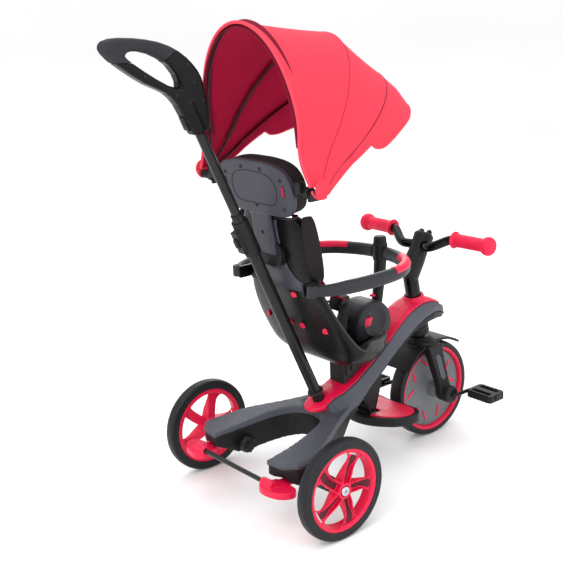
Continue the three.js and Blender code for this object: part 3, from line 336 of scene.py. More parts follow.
# The darker crimson for the cloth's inside faces is painted shade: a shaded copy of the canopy cloth.
CANOPY_INSIDE_SHADE = woven_fabric("canopy_lining", colour("B8003C"), 0.0007, sheen=0.1, creases=0.5, flat_cut=True)
CORAL_PLAIN = woven_fabric("canopy_cloth_end", colour("EE3F54"), 0.0007, sheen=0.25)
PIPING = woven_fabric("canopy_piping", colour("F2495E"), 0.0005, sheen=0.2, creases=0.2)
SEAM = woven_fabric("canopy_seam", colour("B92C45"), 0.0005, sheen=0.1, creases=0.2)
SLEEVE = woven_fabric("canopy_sleeve", colour("7A0628"), 0.0006, sheen=0.1, creases=0.4)
PAD = woven_fabric("pad_cloth", colour("241E1F"), 0.0008, roughness=0.9, sheen=0.15)
WEBBING = woven_fabric("harness_webbing", colour("C0103A"), 0.0014, roughness=0.7, sheen=0.1)
BLACK_WEBBING = woven_fabric("black_webbing", colour("18181A"), 0.0014, roughness=0.7, sheen=0.1)
# Dark maroon painted shade, laid on the floors of the rear spokes' channels.
PAINTED_CHANNEL_SHADE = moulded_plastic("painted_channel_shade", colour("4A0A1C"), 0.6, grain=0.2, specular=0.2)
DARK_GAP = moulded_plastic("shadow_line", colour("0A0A0B"), 0.7, grain=0.1)
# The materials that fill each slot, unless a piece's call names another slot.
SLOT_MATERIALS = {
    "red_plastic": (RED, PAINTED_CHANNEL_SHADE), "grey_plastic": (GREY, RING_GREY), "black_plastic": (BLACK, DARK_GAP),
    "gloss_black": (SHELL_BLACK,), "violet_grey_plastic": (VIOLET,), "disc_grey": (DISC,),
    "tyre_foam": (TYRE,), "red_grip_rubber": (GRIP_RED,), "grip_foam": (FOAM,), "black_steel": (STEEL_BLACK,),
    "bright_steel": (STEEL_BRIGHT,), "canopy_fabric": (CORAL, CORAL_PLAIN, PIPING, SEAM, SLEEVE),
    "pad_fabric": (PAD, WEBBING, BLACK_WEBBING),
}
SLOTS = {material: slot for slot, materials in SLOT_MATERIALS.items() for material in materials}


# ---- Mesh building ----
def add_object(name, data):
    item = bpy.data.objects.new(name, data)
    bpy.context.scene.collection.objects.link(item)
    return item


def make_piece(name, verts, faces, surface, body, replaces=(), slot=None, uvs=None, surfaces=None, weld=True):
    """A mesh piece from drawing points that rides on a body. surfaces holds each face's material index."""
    mesh = bpy.data.meshes.new(name)
    mesh.from_pydata([to_frame(v) for v in verts], [], faces)
    materials = surface if isinstance(surface, tuple) else (surface,)
    for material in materials:
        mesh.materials.append(material)
    if surfaces is not None:
        mesh.polygons.foreach_set("material_index", surfaces)
    if uvs is not None:
        layer = mesh.uv_layers.new(name="UVMap")
        for loop in mesh.loops:
            layer.data[loop.index].uv = uvs[loop.vertex_index]
    piece = add_object(name, mesh)
    finish_mesh(piece, weld)
    declare(piece, body, slot or SLOTS[materials[0]], replaces)
    return piece


def declare(piece, body, slot, replaces):
    """Says which body a piece rides on and hides the CAD nodes it stands for. The slot is not used."""
    if body is not None:
        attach(piece, body)
    if replaces:
        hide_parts(*replaces)


def finish_mesh(piece, weld=True, angle=SMOOTH_ANGLE):
    """Outward faces, smooth shading, and hard edges only where the surface turns sharply."""
    bm = bmesh.new()
    bm.from_mesh(piece.data)
    if weld:
        bmesh.ops.remove_doubles(bm, verts=bm.verts, dist=0.000005)
    bmesh.ops.recalc_face_normals(bm, faces=bm.faces)
    for face in bm.faces:
        face.smooth = True
    for edge in bm.edges:
        edge.smooth = len(edge.link_faces) == 2 and edge.calc_face_angle(0) < angle
    bm.to_mesh(piece.data)
    bm.free()


def apply_modifiers(piece):
    bpy.context.view_layer.update()
    graph = bpy.context.evaluated_depsgraph_get()
    mesh = bpy.data.meshes.new_from_object(piece.evaluated_get(graph), depsgraph=graph)
    piece.modifiers.clear()
    piece.data = mesh


def bevelled(piece, width, degrees):
    """Rounds the edges that turn by more than an angle."""
    modifier = piece.modifiers.new("edges", "BEVEL")
    modifier.width = width / 1000
    modifier.segments = 2
    modifier.limit_method = "ANGLE"
    modifier.angle_limit = math.radians(degrees)
    apply_modifiers(piece)
    finish_mesh(piece, weld=False)


def softened(piece, surface, voxel, passes):
    """Turns closed solids that overlap into one moulding with rounded edges."""
    remesh = piece.modifiers.new("remesh", "REMESH")
    remesh.mode = "VOXEL"
    remesh.voxel_size = voxel / 1000
    soften = piece.modifiers.new("soften", "SMOOTH")
    soften.factor = 0.5
    soften.iterations = passes
    apply_modifiers(piece)
    for polygon in piece.data.polygons:
        polygon.material_index = 0
    piece.data.materials.clear()
    piece.data.materials.append(surface)
    finish_mesh(piece, weld=False, angle=SOFT_ANGLE)


def rounded_copy(name, node, surface, body, voxel=2.2, passes=6):
    """A CAD node's solid as a moulding with rounded edges."""
    solid = bmesh.new()
    solid.from_mesh(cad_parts[node].data)
    bmesh.ops.remove_doubles(solid, verts=solid.verts, dist=0.00001)
    mesh = bpy.data.meshes.new(name)
    solid.to_mesh(mesh)
    solid.free()
    piece = add_object(name, mesh)
    softened(piece, surface, voxel, passes)
    declare(piece, body, SLOTS[surface], [node])


def ring_faces(rows, columns, closed_rows=False):
    faces = []
    for i in range(rows if closed_rows else rows - 1):
        for j in range(columns):
            a, b = i * columns + j, i * columns + (j + 1) % columns
            c, d = ((i + 1) % rows) * columns + (j + 1) % columns, ((i + 1) % rows) * columns + j
            faces.append((a, b, c, d))
    return faces


def loft(rings):
    """Vertices and faces through rings of points that all have as many points, closed at both ends."""
    count = len(rings[0])
    verts = [tuple(p) for ring in rings for p in ring]
    faces = ring_faces(len(rings), count)
    faces.append(tuple(range(count)))
    faces.append(tuple(range(len(verts) - count, len(verts))))
    return verts, faces


def closed_loft(rings):
    """Vertices and faces through rings of which the last joins the first."""
    verts = [tuple(p) for ring in rings for p in ring]
    return verts, ring_faces(len(rings), len(rings[0]), closed_rows=True)


def joined(*parts):
    verts, faces = [], []
    for part_verts, part_faces in parts:
        base = len(verts)
        verts += part_verts
        faces += [tuple(i + base for i in face) for face in part_faces]
    return verts, faces


def frames_between(start, end):
    """Two directions square to the line from start to end."""
    along = (Vector(end) - Vector(start)).normalized()
    across = along.cross(Vector((0, 0, 1)))
    if across.length < 1e-3:
        across = Vector((0, 1, 0))
    across.normalize()
    return along, across, along.cross(across)


def lathe(profile, start, end, sides=48):
    """Turns [radius, distance] points round the line from start towards end."""
    along, across, up = frames_between(start, end)
    rings = []
    for radius, distance in profile:
        middle = Vector(start) + along * distance
        rings.append([
            middle + (across * math.cos(a) + up * math.sin(a)) * max(radius, 0.01)
            for a in (2 * math.pi * i / sides for i in range(sides))
        ])
    return closed_loft(rings[:-1]) if profile[0] == profile[-1] else loft(rings)


def rod(start, end, radius, sides, chamfer=0.5):
    length = (Vector(end) - Vector(start)).length
    chamfer = min(chamfer, radius * 0.5, length * 0.3)
    profile = [
        (0, 0), (radius - chamfer, 0), (radius, chamfer),
        (radius, length - chamfer), (radius - chamfer, length), (0, length),
    ]
    return lathe(profile, start, end, sides)


def catmull_rom(points, share):
    """The point at a share of the way between the middle two of four points, on a centripetal curve."""
    knots = [0.0]
    for a, b in zip(points, points[1:]):
        knots.append(knots[-1] + max(np.linalg.norm(b - a), 1e-6) ** 0.5)
    t = knots[1] + (knots[2] - knots[1]) * share
    level = points
    for depth in (1, 2, 3):
        level = [
            level[k] * ((knots[k + depth] - t) / (knots[k + depth] - knots[k]))
            + level[k + 1] * ((t - knots[k]) / (knots[k + depth] - knots[k]))
            for k in range(4 - depth)
        ]
    return level[0]


def padded_ends(points):
    """The points with one more at each end, so that a curve passes through all the given ones."""
    return [2 * points[0] - points[1]] + points + [2 * points[-1] - points[-2]]


def spline(points, count, closed=False):
    """Points evenly along a smooth curve through the given ones."""
    points = [np.array(p, float) for p in points]
    padded = [points[-1]] + points + [points[0], points[1]] if closed else padded_ends(points)
    dense = [catmull_rom(padded[i:i + 4], step / 16) for i in range(len(padded) - 3) for step in range(16)]
    dense.append(points[0] if closed else points[-1])
    dense = np.array(dense)
    lengths = np.concatenate([[0], np.cumsum(np.linalg.norm(np.diff(dense, axis=0), axis=1))])
    samples = np.linspace(0, lengths[-1], count + 1 if closed else count)
    even = np.stack([np.interp(samples, lengths, dense[:, k]) for k in range(dense.shape[1])], 1)
    return [tuple(p) for p in (even[:-1] if closed else even)]


def sweep(path, section, closed=False, up=(0, 0, 1)):
    """Carries a section of [sideways, upwards] points along a path of points."""
    rings = []
    count = len(path)
    for i, point in enumerate(path):
        before = path[(i - 1) % count] if closed or i else path[0]
        after = path[(i + 1) % count] if closed or i < count - 1 else path[-1]
        along = (Vector(after) - Vector(before)).normalized()
        side = along.cross(Vector(up))
        side = side.normalized() if side.length > 1e-4 else Vector((0, 1, 0))
        top = side.cross(along)
        outline = section(i / max(count - 1, 1)) if callable(section) else section
        rings.append([Vector(point) + side * a + top * b for a, b in outline])
    return closed_loft(rings) if closed else loft(rings)


def circle(radius, sides):
    turns = [2 * math.pi * i / sides for i in range(sides)]
    return [(radius * math.cos(a), radius * math.sin(a)) for a in turns]


def rounded_box(half_width, half_height, corner, steps):
    """The outline of a box with round corners, each of so many steps."""
    points = []
    for quarter, (sx, sy) in enumerate(((1, 1), (-1, 1), (-1, -1), (1, -1))):
        middle_x, middle_y = sx * (half_width - corner), sy * (half_height - corner)
        for i in range(steps + 1):
            a = math.pi / 2 * (quarter + i / steps)
            points.append((middle_x + corner * math.cos(a), middle_y + corner * math.sin(a)))
    return points


def plate(outline, place, low, high, edge):
    """A plate with rounded rims: the outline's [a, b] points put in space by place(a, b, depth)."""
    middle = np.mean(np.array(outline), axis=0)
    reach = max(np.linalg.norm(np.array(outline) - middle, axis=1).max(), 1e-6)

    def ring(inset, depth):
        share = 1 - inset / reach
        return [
            place(middle[0] + (a - middle[0]) * share, middle[1] + (b - middle[1]) * share, depth)
            for a, b in outline
        ]

    edge = min(edge, (high - low) * 0.45)
    third = edge * 0.3
    return loft([
        ring(edge, low), ring(third, low + third), ring(0, low + edge),
        ring(0, high - edge), ring(third, high - third), ring(edge, high),
    ])


def rounded_power(value, power):
    """The power of the value's size, with the value's sign."""
    return math.copysign(abs(value) ** power, value)


def look_up(table, key):
    keys, values = zip(*table)
    return float(np.interp(key, keys, values))


def sheet(across_steps, along_steps, place, indexes=(0, 0, 0)):
    """A thick curved sheet: place(u, v, w) for fractions from 0 to 1, w = 1 outside.

    indexes are the materials inside, outside and on the rim. Returns vertices, faces, a material index
    for each face, and UVs in metres.
    """
    columns, rows = across_steps + 1, along_steps + 1
    verts, uvs = [], []
    for w in (0, 1):
        grid = [
            [Vector(place(j / across_steps, i / along_steps, w)) for j in range(columns)] for i in range(rows)
        ]
        middle = columns // 2
        along = [0.0]
        for i in range(1, rows):
            along.append(along[-1] + (grid[i][middle] - grid[i - 1][middle]).length)
        for i in range(rows):
            across = [0.0]
            for j in range(1, columns):
                across.append(across[-1] + (grid[i][j] - grid[i][j - 1]).length)
            for j in range(columns):
                verts.append(tuple(grid[i][j]))
                uvs.append(((across[j] - across[middle]) / 1000, along[i] / 1000))
    faces, surfaces = [], []
    size = rows * columns
    inside, outside, rim = indexes
    for i in range(rows - 1):
        for j in range(columns - 1):
            a = i * columns + j
            quad = (a, a + 1, a + 1 + columns, a + columns)
            faces.append(tuple(reversed(quad)))
            surfaces.append(inside)
            faces.append(tuple(k + size for k in quad))
            surfaces.append(outside)
    border = list(range(columns))
    border += [i * columns + columns - 1 for i in range(1, rows)]
    border += [(rows - 1) * columns + j for j in range(columns - 2, -1, -1)]
    border += [i * columns for i in range(rows - 2, 0, -1)]
    for a, b in zip(border, border[1:] + border[:1]):
        faces.append((a, b, b + size, a + size))
        surfaces.append(rim)
    return verts, faces, surfaces, uvs


def screw(name, at, along, radius, body, surface=STEEL_BRIGHT):
    """A pan-head screw, its dished head facing along."""
    along = Vector(along).normalized()
    profile = [(0, -1.5), (radius, -1.5), (radius, 0.4), (radius * 0.8, 1.3), (radius * 0.3, 1.6), (0, 1.1)]
    make_piece(name, *lathe(profile, at, Vector(at) + along, 20), surface, body)


def wheel_points(profile, x, y, z, facets):
    """Turns a closed [radius, y] profile round a wheel's axle."""
    turns = [2 * math.pi * i / facets for i in range(facets)]
    return closed_loft([
        [(x + r * math.sin(turn), y + a, z + r * math.cos(turn)) for r, a in profile] for turn in turns
    ])


# ---- Frame ----
def frame_pieces():
    rounded_copy("frame_top", "frame_upper_cover", GREY, "frame", voxel=2.0)
    rounded_copy("frame_underside", "frame_lower_shell", BLACK, "frame", voxel=2.2)
    rounded_copy("beam_red_cover", "beam_cover", RED, "frame", voxel=1.8)
    foot, up = along_steering(267), along_steering(500)
    profile = [(17, 0), (23, 0), (24.4, 1.5), (24.8, 6)]
    for ring in range(5):
        low = 10 + ring * 11
        profile += [(24.8, low), (23.6, low + 1), (23.6, low + 3), (24.8, low + 4)]
    profile += [(24.8, 66), (23.5, 68), (17, 68), (17, 0)]
    make_piece("head_sleeve", *lathe(profile, foot, up, 56), BLACK, "frame", ["head_tube"])
    bush = [(13.4, 2), (16.2, 2), (16.6, 2.6), (16.6, 65.4), (16.2, 66), (13.4, 66), (13.4, 2)]
    make_piece("head_bush", *lathe(bush, foot, up, 40), STEEL_BRIGHT, "frame", ["headset_bush"])
    pole_collar()
    for side in (-1, 1):
        for along in (0.25, 0.75):
            place = (110 * along - 20, side * (134 - 40 * along), 120)
            screw(f"frame_screw_{side}_{along}", place, (0, side, 0), 3.2, "frame")


def pole_collar():
    """The rubber lip round the pole's foot."""
    lip = [(13.6, 11), (17.5, 11), (18.2, 12.5), (17.6, 14.5), (15.6, 16), (13.6, 16), (13.6, 11)]
    make_piece("pole_foot_collar", *lathe(lip, along_pole(0), along_pole(100), 48), BLACK, "frame")


# ---- Wheels ----
SPOKES = 5
TREAD_CUTS = 24
CUT_DEPTH = 0.9
SHOULDER_RADIUS = 10


def both_sides(profile):
    """A [radius, y] profile followed by its mirror image."""
    return profile + [(r, -a) for r, a in reversed(profile)]


def tyre(name, wheel, x, y, z, body, replaced):
    """A foam tyre: round shoulders, a sidewall step and curved tread cuts."""
    half, outer, inner = wheel["width"] / 2, wheel["radius"], wheel["rim"] + 0.35
    wall = [(inner, -half + 0.4), (inner + 1, -half), (outer - 13, -half), (outer - 12, -half + 0.7)]
    tread = []
    for i in range(17):
        a = -math.pi / 2 + math.pi * i / 16
        radius = outer - SHOULDER_RADIUS + SHOULDER_RADIUS * abs(math.cos(a)) ** 0.45
        tread.append((radius, rounded_power(math.sin(a), 0.7) * (half - 0.4)))
    profile = wall + tread + [(r, -a) for r, a in reversed(wall)]
    facets = 288
    verts, faces = wheel_points(profile, x, y, z, facets)
    carved = []
    for i, (vx, vy, vz) in enumerate(verts):
        radius, across = profile[i % len(profile)]
        turn = (i // len(profile)) / facets * TREAD_CUTS
        slant = turn + 0.5 * (across / half) ** 2 * (1 if across > 0 else -1) + (0.5 if across > 0 else 0)
        near = abs((slant % 1) - 0.5)
        is_tread = radius > outer - 9 and abs(across) > half * 0.16
        cut = CUT_DEPTH * max(0.0, 1 - near / 0.075) if is_tread else 0.0
        share = (radius - cut) / radius
        carved.append((x + (vx - x) * share, vy, z + (vz - z) * share))
    make_piece(name, carved, faces, TYRE, body, [replaced], weld=False)


# A rear spoke: [distance from the axle, half width, depth of its back, height of its front].
SPOKE = (
    (11, 10, 10, 12), (20, 11, 11, 13), (32, 11, 7, 13), (48, 11, 1, 12), (60, 12, -4, 11.5),
    (68, 15, -6, 11), (74, 22, -7, 10.5), (78, 31, -8, 10.5), (81, 38, -9, 10.5),
)
# The floor of its channel, where a strip of painted shade lies: [distance from the axle, half width].
CHANNEL_FLOOR = ((19, 5.5), (24, 8.6), (32, 8.8), (48, 8.8), (60, 9.4), (68, 10), (74, 6))


def spoke_directions(index, radius):
    angle = 2 * math.pi * index / SPOKES + math.pi / 10 + 0.16 * ((radius - 11) / 69) ** 2
    return Vector((math.sin(angle), 0, math.cos(angle))), Vector((math.cos(angle), 0, -math.sin(angle)))


def channel_floor(inside, outside):
    return min(outside - 3, max(-inside + 3, outside - 11))


def spoke_ring(index, radius, y, z, side, section):
    """A section across a spoke of a rear wheel, at a distance from the axle."""
    out, across = spoke_directions(index, radius)
    return [Vector((0, y + side * b, z)) + out * radius + across * a for a, b in section]


def channel_spoke(index, y, z, side):
    """One U-channel spoke, open outwards, that curves into the rim like a T."""
    rings = []
    for radius, edge, inside, outside in SPOKE:
        wall, floor = edge - 2.3, channel_floor(inside, outside)
        section = [
            (-edge, -inside), (edge, -inside), (edge, outside), (wall, outside), (wall, floor),
            (-wall, floor), (-wall, outside), (-edge, outside),
        ]
        rings.append(spoke_ring(index, radius, y, z, side, section))
    return loft(rings)


def channel_shadow(name, index, y, z, side, body):
    """A strip of painted shade on the floor of a spoke's channel."""
    rings = []
    for radius, edge in CHANNEL_FLOOR:
        inside, outside = (look_up([(row[0], row[c]) for row in SPOKE], radius) for c in (2, 3))
        floor = channel_floor(inside, outside) + 0.2
        section = [(-edge, floor - 1), (edge, floor - 1), (edge, floor), (-edge, floor)]
        rings.append(spoke_ring(index, radius, y, z, side, section))
    make_piece(name, *loft(rings), PAINTED_CHANNEL_SHADE, body)


def rear_wheel(side_name, side):
    body = "rear_wheel_" + side_name
    y, z = side * REAR_WHEEL["y"], REAR_WHEEL["radius"]
    tyre("rear_tyre_foam_" + side_name, REAR_WHEEL, 0, y, z, body, "rear_tyre_" + side_name)
    rim = REAR_WHEEL["rim"]
    section = [
        (78, -12.5), (rim, -12.5), (rim, 12.5), (rim - 1.5, 13), (rim - 5, 13), (rim - 6, 11.8), (79.5, 10.5),
        (76.5, -10),
    ]
    band = wheel_points([(r, side * a) for r, a in section], 0, y, z, 96)
    hub = lathe(
        [(6.8, 0), (16, 0), (17, 1), (17, 31), (16, 33), (13, 33), (12.2, 32), (12, 28), (6.8, 28), (6.8, 0)],
        (0, y - side * 18, z), (0, y + side * 100, z), 48,
    )
    spokes = [channel_spoke(i, y, z, side) for i in range(SPOKES)]
    shape = joined(band, hub, *spokes)
    nodes = ["rear_rim_" + side_name]
    moulding = make_piece("rear_rim_spoked_" + side_name, *shape, RED, body, nodes, weld=False)
    softened(moulding, RED, 1.3, 3)
    # Painted shade strips on the floors of the spoke channels.
    for index in range(SPOKES):
        channel_shadow(f"painted_channel_shade_{side_name}_{index}", index, y, z, side, body)
    bolt = [
        (0, 0), (5.8, 0), (5.8, 163.6), (10, 163.6), (11, 164.6), (11, 167), (9.5, 169.8), (5, 171),
        (3.5, 170), (3.2, 168), (0, 168),
    ]
    make_piece(
        "axle_bolt_" + side_name, *lathe(bolt, (0, side * 72.6, z), (0, side * 300, z), 40),
        STEEL_BRIGHT, "frame", ["rear_axle_bolt_" + side_name],
    )
    rounded_copy("inner_axle_cap_" + side_name, "axle_cap_" + side_name, BLACK, "frame", voxel=1.1, passes=3)


def front_wheel():
    x, z = FRONT_WHEEL["x"], FRONT_WHEEL["radius"]
    tyre("front_tyre_foam", FRONT_WHEEL, x, 0, z, "front_wheel", "front_tyre")
    rim = FRONT_WHEEL["rim"]
    edge = both_sides([(96.2, -12), (99, -16), (101, -17.6), (rim - 0.5, -17.6), (rim, -17)])
    make_piece("front_rim_band", *wheel_points(edge, x, 0, z, 128), RED, "front_wheel", ["front_rim"])
    profile = both_sides([
        (5.2, 38), (14, 38), (19, 36.5), (20, 34), (20, 12), (24, 10.2), (44, 7.4), (60, 7.2), (82, 8.4),
        (93.5, 9.2), (95, 8.6),
    ])
    profile.append(profile[0])
    disc = lathe([(r, a + 38) for r, a in profile], (x, -38, z), (x, 100, z), 96)
    make_piece("front_wheel_disc", *disc, DISC, "front_wheel", ["front_disc"])
    strip_index = 0
    for side in (-1, 1):
        for spoke in range(SPOKES):
            for lean in (-1, 1):
                angle = 2 * math.pi * spoke / SPOKES + lean * 0.3
                disc_strip(f"disc_strip_{strip_index}", angle, lean * 0.62, side)
                strip_index += 1


def disc_strip(name, angle, lean, side):
    """A short raised red strip on the face of the front disc."""
    x, z = FRONT_WHEEL["x"], FRONT_WHEEL["radius"]
    out = Vector((math.sin(angle), 0, math.cos(angle)))
    along = Vector((math.sin(angle + lean), 0, math.cos(angle + lean)))
    across = Vector((along.z, 0, -along.x))
    middle = Vector((x, 0, z)) + out * 72
    outline = rounded_box(14.5, 2.5, 2.1, 4)

    def place(a, b, depth):
        point = middle + along * a + across * b
        return (point.x, side * depth, point.z)

    make_piece(name, *plate(outline, place, 6.6, 9.6, 0.7), RED, "front_wheel")


# ---- Crank and pedals ----
def crank_and_pedals():
    x, z = FRONT_WHEEL["x"], FRONT_WHEEL["radius"]
    reach, arm, end, corner = 60, 85.3, 164, 7

    def half(sign, side):
        line = [
            (0, arm - corner), (2, arm - 2), (corner, arm), (reach - corner, arm), (reach - 2, arm + 2),
            (reach, arm + corner), (reach, end),
        ]
        return [(x + sign * a, side * b, z) for a, b in line]

    path = list(reversed(half(1, -1))) + half(-1, 1)
    dense = [tuple(Vector(a).lerp(Vector(b), i / 4)) for a, b in zip(path, path[1:]) for i in range(4)]
    crank = sweep(dense + [path[-1]], circle(4.5, 20))
    make_piece("crank_rod", *crank, STEEL_BLACK, "front_wheel", ["pedal_crank"])
    for side_name, sign, side in (("left", -1, 1), ("right", 1, -1)):
        pedal(side_name, x + sign * reach, side * 129, z)


def pedal(side_name, x, y, z):
    body = side_name + "_pedal"
    rounded_copy("pedal_block_" + side_name, "pedal_" + side_name, BLACK, body, 1.1, 3)
    bar = [(a * 0.7, b) for a, b in rounded_box(4.2, 1.3, 1.1, 3)]
    for level in (-1, 1):
        for row in range(5):
            for lane in (-1, 1):
                at_x, at_y = x + lane * 23.4, y - 24 + row * 12
                shape = plate(bar, lambda a, b, depth: (at_x + a, at_y + b, z + level * depth), 8.4, 9.9, 0.5)
                make_piece(f"pedal_tread_{side_name}_{level}_{row}_{lane}", *shape, BLACK, body)
    outer = 1 if y > 0 else -1
    cap = [(0, 0), (7.5, 0), (8, 1), (7.5, 3), (4, 3.6), (0, 3.4)]
    make_piece(
        "pedal_end_cap_" + side_name, *lathe(cap, (x, y + outer * 36.5, z), (x, y + outer * 80, z), 28),
        BLACK, body,
    )


# ---- Fork and steering ----
def fork_and_steering():
    rounded_copy("fork_moulding", "fork", BLACK, "steering", voxel=1.7, passes=5)
    for side_name, side in SIDES:
        rounded_copy("fork_slot_" + side_name, "fork_insert_" + side_name, GREY, "steering", 0.9, 3)
        hub_cap(side_name, side)
    up = along_steering(500)
    rise = 1 / math.cos(STEERING_LEAN)
    column = [
        (0, 0), (12.4, 0), (13, 0.6), (13, 112 * rise), (17.4, 112 * rise), (18, 112 * rise + 0.6),
        (18, 160 * rise), (17.6, 168 * rise), (16, 172 * rise), (0, 172 * rise),
    ]
    make_piece(
        "column_tube", *lathe(column, along_steering(246), up, 56), STEEL_BLACK, "steering",
        ["steering_column"],
    )
    rounded_copy("stem_moulding", "handlebar_stem", BLACK, "steering", voxel=1.3, passes=5)
    for side_name, side in SIDES:
        foot = Vector((496, side * 12, 508)) + Vector((5.2, 0, 8.5)) * 0.82
        screw("stem_bolt_" + side_name, foot, (0.52, 0, 0.854), 4.2, "steering", STEEL_BLACK)
    half = [
        (480.1, 0, 481.9), (474, 20, 484), (465, 40, 486), (472, 60, 494), (486, 84, 506), (490, 100, 508),
        (493, 150, 507.5), (496, 196, 507),
    ]
    bar = [(x, -y, z) for x, y, z in reversed(half[1:])] + half
    make_piece(
        "handlebar_tube", *sweep(spline(bar, 120), circle(11, 28)), STEEL_BLACK, "steering", ["handlebar"]
    )
    grips()


def hub_cap(side_name, side):
    x, z = FRONT_WHEEL["x"], FRONT_WHEEL["radius"]
    profile = [
        (5, 0), (20.4, 0), (21, 0.8), (21, 4), (20.2, 4.6), (20.2, 5.6), (21, 6.2), (21, 11.5), (20, 14.2),
        (17.6, 15.9), (13, 16), (12, 14.6), (8, 14.6), (7.4, 16), (5, 16), (5, 0),
    ]
    make_piece(
        "hub_cap_turned_" + side_name, *lathe(profile, (x, side * 63.35, z), (x, side * 300, z), 56),
        BLACK, "steering", ["hub_cap_" + side_name],
    )


def grips():
    """Rubber grips with an end bulb, a guard ring and a row of shallow ribs."""
    profile = [(11.4, 0), (18, 0), (19.4, 1), (20, 2.5), (19.4, 4.2), (17.2, 6.2), (15.6, 8.5)]
    for rib in range(13):
        low = 12 + rib * 5.3
        profile += [(15.0, low), (15.5, low + 1), (15.5, low + 3), (15.0, low + 4)]
    profile += [
        (15.5, 82), (18.2, 84.5), (20.4, 88), (21.4, 92), (21.3, 96), (20.2, 100.5), (17.6, 104), (14, 105.8),
        (8, 106), (0, 105.4),
    ]
    for side_name, side in SIDES:
        shape = lathe(profile, (489.6, side * 95, 508), (496, side * 199, 507), 40)
        make_piece("hand_grip_" + side_name, *shape, GRIP_RED, "steering", ["grip_" + side_name])


# ---- Brake and footrest ----
def brake_and_footrest():
    for side_name, side in SIDES:
        rounded_copy("brake_paddle_" + side_name, "brake_pedal_" + side_name, RED, "brake", 1.3, 4)
        for row in range(5):
            y = side * (112 + row * 12)
            ridge = rounded_box(15 - abs(row - 2) * 2.4, 1.3, 1.2, 3)
            shape = plate(ridge, lambda a, b, depth: (-88 + a, y + b, depth), 109.3, 110.6, 0.5)
            make_piece(f"brake_ridge_{side_name}_{row}", *shape, RED, "brake")
    shaft = rod((-96, -127.5, 113), (-96, 127.5, 113), 5.3, 32)
    make_piece("brake_shaft", *shaft, STEEL_BLACK, "brake", ["brake_rod"])
    rounded_copy("footrest_base", "footrest_tray", BLACK, "footrest", 1.6, 4)
    rounded_copy("footrest_top_pad", "footrest_pad", RED, "footrest", 0.9, 2)
    rounded_copy("footrest_holder", "footrest_bracket", BLACK, "frame", 1.4, 4)
    for row in range(7):
        x = 314 + row * 9
        reach = 78 - abs(row - 3) * 4
        for side in (-1, 1):
            ridge = rounded_box(1.1, (reach - 34) / 2, 1.0, 3)
            middle = side * (34 + (reach - 34) / 2)
            shape = plate(ridge, lambda a, b, depth: (x + a, middle + b, depth), 124.1, 125.0, 0.4)
            make_piece(f"footrest_ridge_{row}_{side}", *shape, RED, "footrest")
    for side in (-1, 1):
        screw(f"footrest_hinge_screw_{side}", (290, side * 27, 136), (0, side, 0), 5, "frame", STEEL_BLACK)


# ---- Push pole ----
def push_pole():
    wall = [
        (10.6, 60), (10.6, 487.6), (11, 488), (12.3, 488), (12.7, 487.4), (12.7, -19.4), (12.2, -20),
        (0, -20), (0, 60),
    ]
    lower = lathe(wall, along_pole(0), along_pole(100), 48)
    make_piece("pole_lower", *lower, STEEL_BLACK, "frame", ["pole_lower_tube"], "gloss_black")
    upper = rod(along_pole(410), along_pole(704), 10.1, 48)
    make_piece("pole_upper", *upper, STEEL_BLACK, "push_handle", ["pole_upper_tube"], "gloss_black")
    rounded_copy("pole_clamp_moulding", "pole_clamp", BLACK, "frame", 1.1, 4)
    behind = Vector(along_pole(0, 1)) - Vector(along_pole(0))
    for index, distance in enumerate((398, 464)):
        screw(f"clamp_screw_{index}", along_pole(distance, 17.2), behind, 3, "frame", STEEL_BLACK)
    pole_button("clamp_button_cap", "pole_clamp_button", "clamp_release", 422, 442, 22, 30, 6)
    pole_button("handle_button_cap", "handle_button", "handle_release", 693, 721, 18, 25, 7.2)
    rounded_copy("handle_moulding", "handle_loop", SHELL_BLACK, "push_handle", 1.5, 5)
    rounded_copy("handle_grip_foam", "handle_foam", FOAM, "push_handle", 1.5, 6)
    for index, (x, z) in enumerate(((-128, 880), (-146, 914), (-186, 895), (-252, 934), (-158, 948))):
        for side in (-1, 1):
            name = f"handle_screw_{index}_{side}"
            screw(name, (x, side * 14.6, z), (0, side, 0), 2.6, "push_handle", STEEL_BLACK)


def pole_button(name, node, body, low, high, near, far, half_width):
    """A button on the pole's rear side with a ribbed thumb face."""
    outline = [((low + high) / 2 + a, b) for a, b in rounded_box((high - low) / 2, half_width, 2.2, 5)]
    shape = plate(outline, lambda a, b, depth: along_pole(a, depth, b), near, far, 1.4)
    make_piece(name, *shape, BLACK, body, [node])
    for rib in range(3):
        at = (low + high) / 2 + (rib - 1) * 5
        ridge = [(at + a, b) for a, b in rounded_box(0.9, half_width - 2.5, 0.8, 3)]
        shape = plate(ridge, lambda a, b, depth: along_pole(a, depth, b), far - 0.3, far + 0.6, 0.3)
        make_piece(f"{name}_rib_{rib}", *shape, BLACK, body)


# ---- Seat ----
# Back and underside of the shell, from the front lip to the top: [x, z, half width, side wall height].
SEAT_LINE = [
    (308, 298, 62, 30), (280, 289, 92, 44), (240, 283, 116, 56), (190, 281, 132, 64), (152, 289, 137, 62),
    (128, 307, 138, 46), (108, 348, 136, 24), (86, 398, 130, 14), (66, 444, 118, 12), (50, 485, 104, 16),
    (38, 530, 104, 32), (28, 575, 104, 36), (21, 612, 96, 32), (18, 632, 80, 20),
]


def seat_curve():
    """Points of the seat's middle line: the share along it, x, z, half width and wall height."""
    points = padded_ends([np.array(row[:2], float) for row in SEAT_LINE])
    spans = len(SEAT_LINE) - 1
    samples = []
    for i in range(spans):
        low, high = np.array(SEAT_LINE[i][2:], float), np.array(SEAT_LINE[i + 1][2:], float)
        for step in range(12 + (i == spans - 1)):
            place = catmull_rom(points[i:i + 4], step / 12)
            samples.append([(i + step / 12) / spans, *place, *(low + (high - low) * step / 12)])
    return np.array(samples)


SEAT_SAMPLES = seat_curve()


